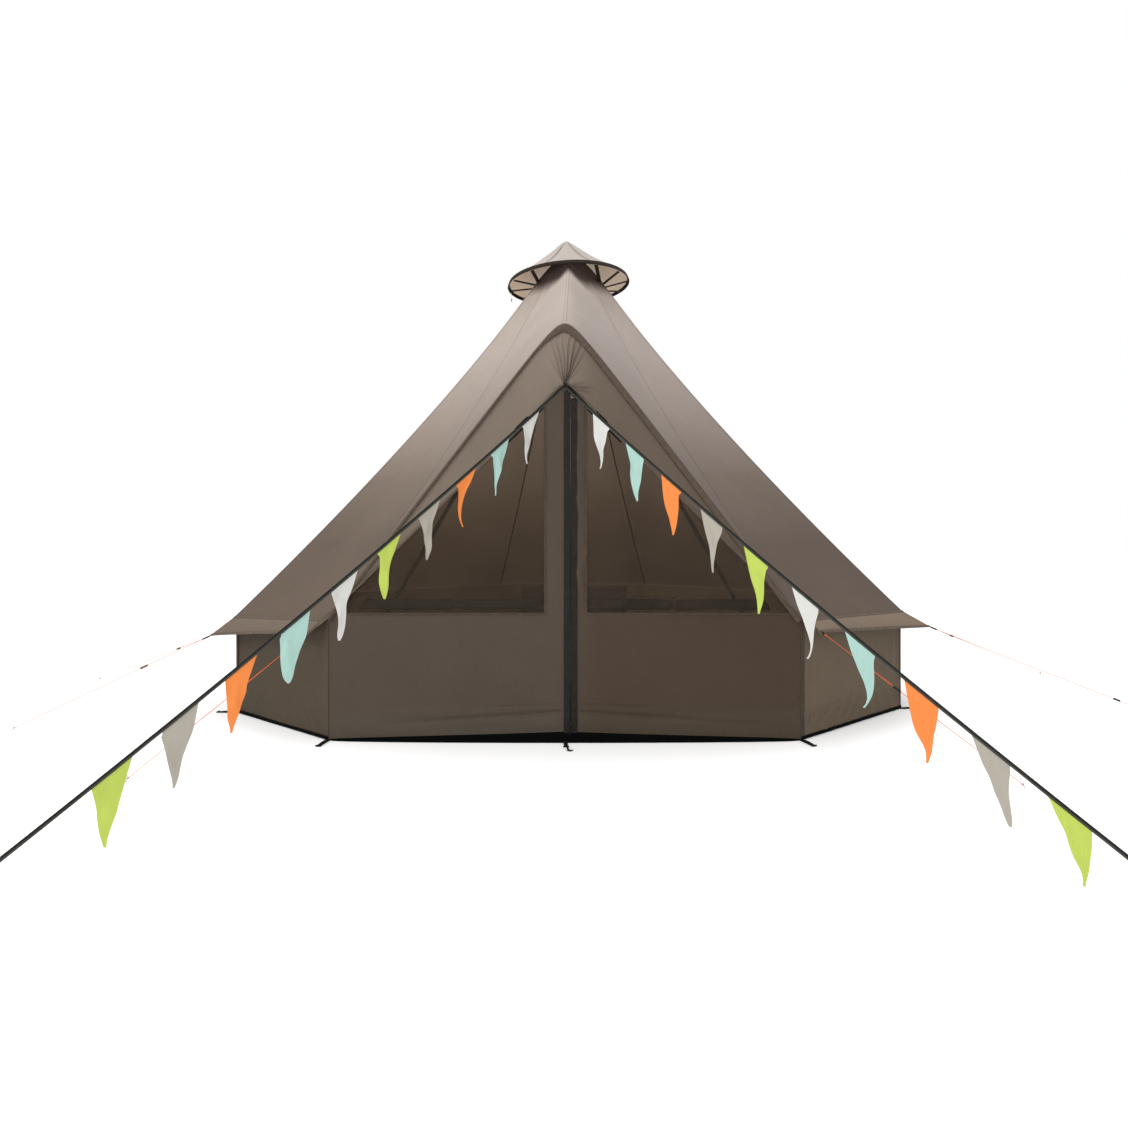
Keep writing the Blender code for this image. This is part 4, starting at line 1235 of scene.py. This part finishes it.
crown = {
    "rings": [(0.0175, 0.006), (0.024, 0.004), (0.03, 0), (0.055, -0.001), (0.08, -0.0015), (0.0895, -0.003)],
    "edge": 0.0895,
    "leanRun": 0.072,
}


def makeCrown():
    rows, uvs, turns = [], [], turnsOf(64)
    lean = tent["poleLean"] * tent["crownHeight"] / tent["poleTop"]
    for radius, rise in crown["rings"]:
        shift, row = toRight * lean * (crown["edge"] - radius) / crown["leanRun"], []
        for turn in turns:
            pucker = 0.0006 * sin(turn * 9) if radius > 0.03 else 0.0
            row.append(outAt(turn) * radius + up * (tent["crownHeight"] + rise + pucker) - shift)
        rows.append(row)
        uvs.append([(radius - 0.09, turn * 0.06) for turn in turns])
    parts = sheetParts(rows, uvs, turned=True)
    piece = addPiece("crownPatch", parts, "webbing", "dark_webbing", "crown_patch", crease=0)
    declare(piece, 0.18, 0.18)


makeCap()
makeCapCord()
makeCrown()
print("vent cap and crown made")

# Bunting: a strap to each front peg, with ten pennants.
# A pennant has its drop, its edges at these levels of the drop in half widths of its top, and its tip
bunting = {
    "top": 1.827,
    "stand": 0.016,
    "sag": 0.038,
    "width": 0.015,
    "flagHalf": 0.07,
    "pegs": {"left": Vector((-1.697, -3.24, 0)), "right": Vector((1.781, -3.24, 0))},
    "peg": [(-0.006, 0.0005), (-0.006, 0.03), (-0.005, 0.043), (-0.014, 0.047), (-0.02, 0.04)],
    "shares": {"left": (0.093, 0.0809), "right": (0.100, 0.0862)},
    "levels": (0.0, 0.25, 0.42, 0.6, 0.78, 0.92, 1.0),
    "left": [
        (0.228, (-0.89, 0.22), (-0.89, 0.0), (-0.78, -0.11), (-0.67, -0.44), (-0.67, -0.50), -0.56),
        (0.236, (-0.73, 0.45), (-0.73, 0.18), (-0.64, -0.18), (-0.64, -0.45), (-0.52, -0.40), -0.45),
        (0.232, (-0.84, 0.04), (-0.76, -0.28), (-0.84, -0.44), (-0.76, -0.52), (-0.62, -0.50), -0.44),
        (0.226, (-0.83, 0.3), (-0.65, 0.3), (-0.57, 0.13), (-0.39, 0.13), (-0.39, -0.04), -0.22),
        (0.232, (-0.78, 0.19), (-0.78, 0.04), (-0.78, -0.11), (-0.78, -0.11), (-0.70, -0.26), -0.48),
        (0.236, (-1.0, 0.33), (-0.7, 0.04), (-0.63, 0.04), (-0.56, 0.04), (-0.56, -0.11), -0.41),
        (0.226, (-1.07, 0.64), (-1.0, 0.43), (-1.0, 0.14), (-1.0, -0.14), (-0.93, -0.29), -0.57),
        (0.230, (-1.0, 0.29), (-0.94, 0.23), (-0.87, -0.03), (-0.87, -0.29), (-0.68, -0.48), -0.61),
        (0.232, (-1.06, 0.62), (-0.88, 0.38), (-0.75, 0.12), (-0.62, -0.06), (-0.50, -0.25), -0.44),
        (0.234, (-0.95, 0.55), (-0.8, 0.3), (-0.75, 0.1), (-0.65, -0.1), (-0.50, -0.25), -0.35),
    ],
    "right": [
        (0.238, (-0.89, 0.79), (-0.68, 0.58), (-0.47, 0.26), (-0.15, 0.26), (0.0, 0.16), -0.05),
        (0.240, (-0.5, 0.91), (-0.6, 0.82), (-0.36, 0.73), (-0.09, 0.55), (0.09, 0.45), 0.27),
        (0.236, (-0.76, 0.84), (-0.6, 0.68), (-0.28, 0.6), (-0.12, 0.52), (0.12, 0.44), 0.28),
        (0.236, (-0.56, 0.93), (-0.33, 0.63), (-0.11, 0.41), (0.04, 0.33), (0.0, 0.19), 0.11),
        (0.236, (-0.53, 0.87), (-0.33, 0.73), (-0.07, 0.73), (0.07, 0.6), (0.2, 0.47), 0.33),
        (0.238, (-0.33, 0.93), (-0.07, 0.8), (0.27, 0.67), (0.5, 0.62), (0.35, 0.46), 0.17),
        (0.233, (-0.39, 0.94), (-0.09, 0.94), (0.21, 0.94), (0.52, 0.88), (0.52, 0.64), 0.34),
        (0.238, (-0.67, 1.0), (-0.5, 0.94), (-0.17, 0.78), (0.22, 0.67), (0.28, 0.5), 0.33),
        (0.232, (-0.32, 1.0), (-0.02, 0.95), (0.27, 0.95), (0.56, 1.05), (0.8, 1.15), 1.05),
        (0.230, (-0.27, 1.0), (-0.05, 1.0), (0.18, 0.95), (0.5, 0.86), (0.6, 0.73), 0.64),
    ],
    "colours": {
        "white": (0.56, 0.56, 0.53),
        "mint": (0.34, 0.52, 0.47),
        "orange": (0.74, 0.22, 0.055),
        "grey": (0.36, 0.335, 0.285),
        "lime": (0.42, 0.52, 0.095),
    },
}
flagLook = {"mottle": 0.03, "thread": 0.001, "roughness": 0.7, "crumple": 0.002}
for colourName, tint in bunting["colours"].items():
    finishes[colourName] = wovenCloth("pennant " + colourName, tint, **flagLook)


# The strap's line as a function of the share of its run, its way on plan, the way it faces and its run
def strapLine(side):
    start = Vector(((-1 if side == "left" else 1) * 0.004, frontY - 0.0014, 0))
    run = flat(bunting["pegs"][side] - start)
    along = run.normalized()

    def at(share):
        sag = bunting["sag"] * 4 * share * (1 - share)
        height = bunting["top"] + (bunting["stand"] - bunting["top"]) * share - sag
        return start + along * run.length * share + up * height

    return at, along, toward(Vector((along.y, -along.x, 0)), toFront), run.length


def makeStrap(side):
    at, along, face, _ = strapLine(side)
    line = [at(share) for share in shares(120)]
    across = []
    for index in range(len(line)):
        rise = toward(face.cross(heading(line, index)).normalized(), up)
        across.append((rise + face * 0.05 * noiseAt(index * 0.06, 0, len(side))).normalized())
    parts = addTape(newParts(), line, across, face, bunting["width"], 0.002)
    addPiece("buntingStrap_" + side, parts, "strap", "bunting_cloth", "bunting_" + side)
    path = [bunting["pegs"][side] + along * reach + up * rise for reach, rise in bunting["peg"]]
    addPiece("strapPeg_" + side, addTube(newParts(), path, 0.0042, 10), "pegSteel", "pole_steel", crease=40)


# How far an edge of a pennant stands from its middle, at a share of its drop
def edgeAt(edges, fall, which):
    fall = min(max(fall, 0.0), 1.0)
    for low, high, start, end in zip(bunting["levels"], bunting["levels"][1:], edges, edges[1:]):
        if fall <= high:
            return start[which] + (end[which] - start[which]) * (fall - low) / (high - low)


def makeFlag(side, order, colour):
    at, _, face, length = strapLine(side)
    drop, *edges, tip = bunting[side][order]
    edges = [(-1.0, 1.0)] + edges + [(tip - 0.07, tip + 0.07)]
    first, step = bunting["shares"][side]
    middle = first + step * order
    rise = bunting["top"] - bunting["stand"]
    wide = bunting["flagHalf"] / hypot(length, rise)
    below = up * (0.002 - bunting["width"] / 2 / cos(atan2(rise, length)))
    centre = at(middle) + below
    drop = min(drop, centre.z - 0.006)
    seed, turn = (order * 3.3, -1) if side == "left" else (order * 3.3 + 50, 1)
    rows = []
    for fall in shares(40):
        blur = 0.05 * smooth(0.0, 0.15, fall) * smooth(0.0, 0.1, 1 - fall)
        levels = [fall - blur, fall, fall + blur]
        left, right = [sum(edgeAt(edges, level, which) for level in levels) / 3 for which in (0, 1)]
        row = []
        for share in shares(12):
            across = turn * (left + (right - left) * share)
            top = at(middle + wide * across) + below
            lift = (top.z - centre.z) * (1 - smooth(0.0, 0.3, fall))
            ripple = 0.012 * sin(pi * fall) * noiseAt(across * 1.6 + seed, fall * 2.8, 1)
            ripple += 0.006 * fall * sin(fall * 7 + seed) + 0.0004 - 0.002 * (1 - fall)
            row.append(flat(top, centre.z - drop * fall + lift) + face * ripple)
        rows.append(row)
    parts = sheetParts(rows, turned=side == "left")
    piece = addPiece(f"pennant_{side}_{order + 1}", parts, colour, "bunting_cloth", crease=40)
    declare(piece, 1.6 * bunting["flagHalf"], drop)


for sideName in ("left", "right"):
    makeStrap(sideName)
    for flagOrder in range(10):
        makeFlag(sideName, flagOrder, list(bunting["colours"])[flagOrder % 5])
print("bunting made")

# Guy lines, each from a black loop at the skirt's tip to a peg, with a runner at a share of the way.
# Slack, runner and peg are profiles along the line, in metres
guys = {
    "radius": 0.0015,
    "loop": 0.045,
    "lines": {
        "front_left": (0, [(-1.87, -2.11, 0.41)]),
        "side_left": (1, [(-3.0, -1.3, 0.33), (-3.44, 0.06, 0.2)]),
        "rear_left": (2, [(-2.75, 1.95, 0.35)]),
        "back_left": (3, [(-1.14, 3.03, 0.35)]),
        "back_right": (4, [(1.14, 3.03, 0.35)]),
        "rear_right": (5, [(2.75, 1.95, 0.35)]),
        "side_right": (6, [(3.46, -0.88, 0.88), (3.59, 0.28, 0.12)]),
        "front_right": (7, [(1.94, -2.19, 0.41)]),
    },
    "slack": [(0.02, 0), (0.012, 0.006), (-0.06, 0.007), (-0.16, 0.003), (-0.19, 0)],
    "runner": [-0.021, -0.019, -0.006, 0, 0.006, 0.019, 0.021],
    "runnerRadii": [0.0035, 0.006, 0.0064, 0.005, 0.0064, 0.006, 0.0035],
    "peg": [(0.001, 0.0004), (-0.004, 0.012), (-0.006, 0.020), (0.001, 0.0235), (0.007, 0.019)],
}


def makeGuy(name, corner, lines):
    cord, hard, steel, loop = newParts(), newParts(), newParts(), newParts()
    tip, size = skirtTip(corner) - up * 0.002, guys["radius"]
    pegs = [Vector((x, y, 0)) for x, y, _ in lines]
    lead = sum(((peg - tip).normalized() for peg in pegs), Vector()).normalized()
    reach = guys["loop"] * (1 if len(lines) > 1 else 0.25)
    hook = tip + lead * reach
    side = Vector((-lead.y, lead.x, 0)).normalized()
    strip = ((-0.006, 0.0015), (reach * 0.2, 0.0035), (reach * 0.7, 0.004), (reach, 0.001))
    for way in (-side, side):
        addTape(loop, [tip + lead * along + way * off for along, off in strip], up, way, 0.009, 0.0018)
    addTube(cord, [hook + lead * along for along in (-0.004, 0.004, 0.016)], [0.0025, 0.0034, 0.002])
    for peg, (_, _, runnerAt) in zip(pegs, lines):
        away = flat(peg - tip).normalized()
        neck = peg - away * 0.006 + up * 0.014
        addTube(cord, between(hook, neck, 24), size)
        run = (neck - hook).normalized()
        across = Vector((-run.y, run.x, 0)).normalized()
        middle = hook.lerp(neck, runnerAt)
        addTube(cord, [middle + run * along + across * off for along, off in guys["slack"]], size * 0.8, 6)
        addTube(hard, [middle + run * along for along in guys["runner"]], guys["runnerRadii"], 10)
        addTube(steel, [peg + away * along + up * rise for along, rise in guys["peg"]], 0.003)
        addTube(cord, hoop(neck, toRight * 0.0045, toBack * 0.0045, 10), size, 6, closed=True)
    addPiece("guyLine_" + name, cord, "line", "guy_orange", "guy_" + name, crease=40)
    addPiece("guyRunner_" + name, hard, "plastic", "dark_webbing", crease=40)
    addPiece("guyPeg_" + name, steel, "pegSteel", "pole_steel", crease=40)
    addPiece("guyTab_" + name, loop, "webbing", "dark_webbing")


for guyName, (cornerIndex, guyLines) in guys["lines"].items():
    makeGuy(guyName, cornerIndex, guyLines)
print("guy lines made")

# Finishes for the solids that stay
for nodeName in ("centre_pole", "a_frame_left", "a_frame_right"):
    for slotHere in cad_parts[nodeName].material_slots:
        slotHere.link = "OBJECT"
        slotHere.material = finishes["steel"]

# Stage, light and camera. A lamp has its place, target, size, power, colour and spread
studio = {
    "floorReach": 40,
    "floorLevel": -0.0006,
    "floor": (0.98, 0.98, 0.98, 1),
    "floorGlow": 0.1,
    "world": 1.0,
    "camera": Vector((0.084, -5.19, 1.054)),
    "sensor": 36,
    "lens": 22.88,
    "shift": (-0.0151, -0.0244),
    "lamps": {
        "overhead key": ((0.0, 0.4, 6.6), (0, 0, 2.0), 4.0, 130, (1.0, 0.985, 0.97), 180),
        "front fill": ((-3.2, -6.0, 5.4), (0, -0.4, 1.8), 4.0, 190, (1, 1, 1), 180),
        "back fill": ((0.6, 7.4, 5.0), (0, 0.8, 1.6), 4.0, 95, (1, 1, 1), 180),
        "inside glow": ((0.0, -0.5, 0.12), (0, 1.3, 1.5), 0.9, 38, (1.0, 0.86, 0.72), 180),
        "cap lift left": ((-1.9, -1.7, 2.25), (0.1, 0.05, 2.98), 0.3, 0.7, (1.0, 0.97, 0.93), 26),
        "cap lift right": ((1.9, -1.7, 2.25), (-0.1, 0.05, 2.98), 0.3, 0.7, (1.0, 0.97, 0.93), 26),
    },
}


def makeStage():
    reach, level = studio["floorReach"], studio["floorLevel"]
    rows = [[Vector((x, y, level)) for x in (-reach, 0, reach)] for y in (reach, 0, -reach)]
    floor = makeMesh("studioFloor", sheetParts(rows, turned=True), crease=0)
    material, shader, _ = startMaterial("studio floor", 0.9, specular=0.1)
    feed(shader, {"Base Color": studio["floor"], "Emission Color": (1, 1, 1, 1)})
    feed(shader, {"Emission Strength": studio["floorGlow"]})
    floor.data.materials.append(material)


def addLamp(name, place, target, size, power, colour, spread):
    light = bpy.data.lights.new(name, "AREA")
    light.shape = "DISK"
    light.size = size
    light.energy = power
    light.color = colour
    light.spread = radians(spread)
    lamp = addObject(name, light)
    lamp.location = place
    lamp.rotation_euler = (Vector(target) - Vector(place)).to_track_quat("-Z", "Y").to_euler()


makeStage()
for lampName, lampValues in studio["lamps"].items():
    addLamp(lampName, *lampValues)

world = bpy.data.worlds.new("studio")
world.use_nodes = True
feed(world.node_tree.nodes["Background"], {"Color": (1, 1, 1, 1), "Strength": studio["world"]})
bpy.context.scene.world = world
bpy.context.scene.view_settings.view_transform = "Standard"

camera = bpy.data.cameras.new("photo camera")
camera.sensor_width = studio["sensor"]
camera.lens = studio["lens"]
camera.shift_x, camera.shift_y = studio["shift"]
cameraObject = addObject("photo camera", camera)
cameraObject.location = studio["camera"]
cameraObject.rotation_euler = (radians(90), 0, 0)
bpy.context.scene.camera = cameraObject
print("stage, light and camera set")
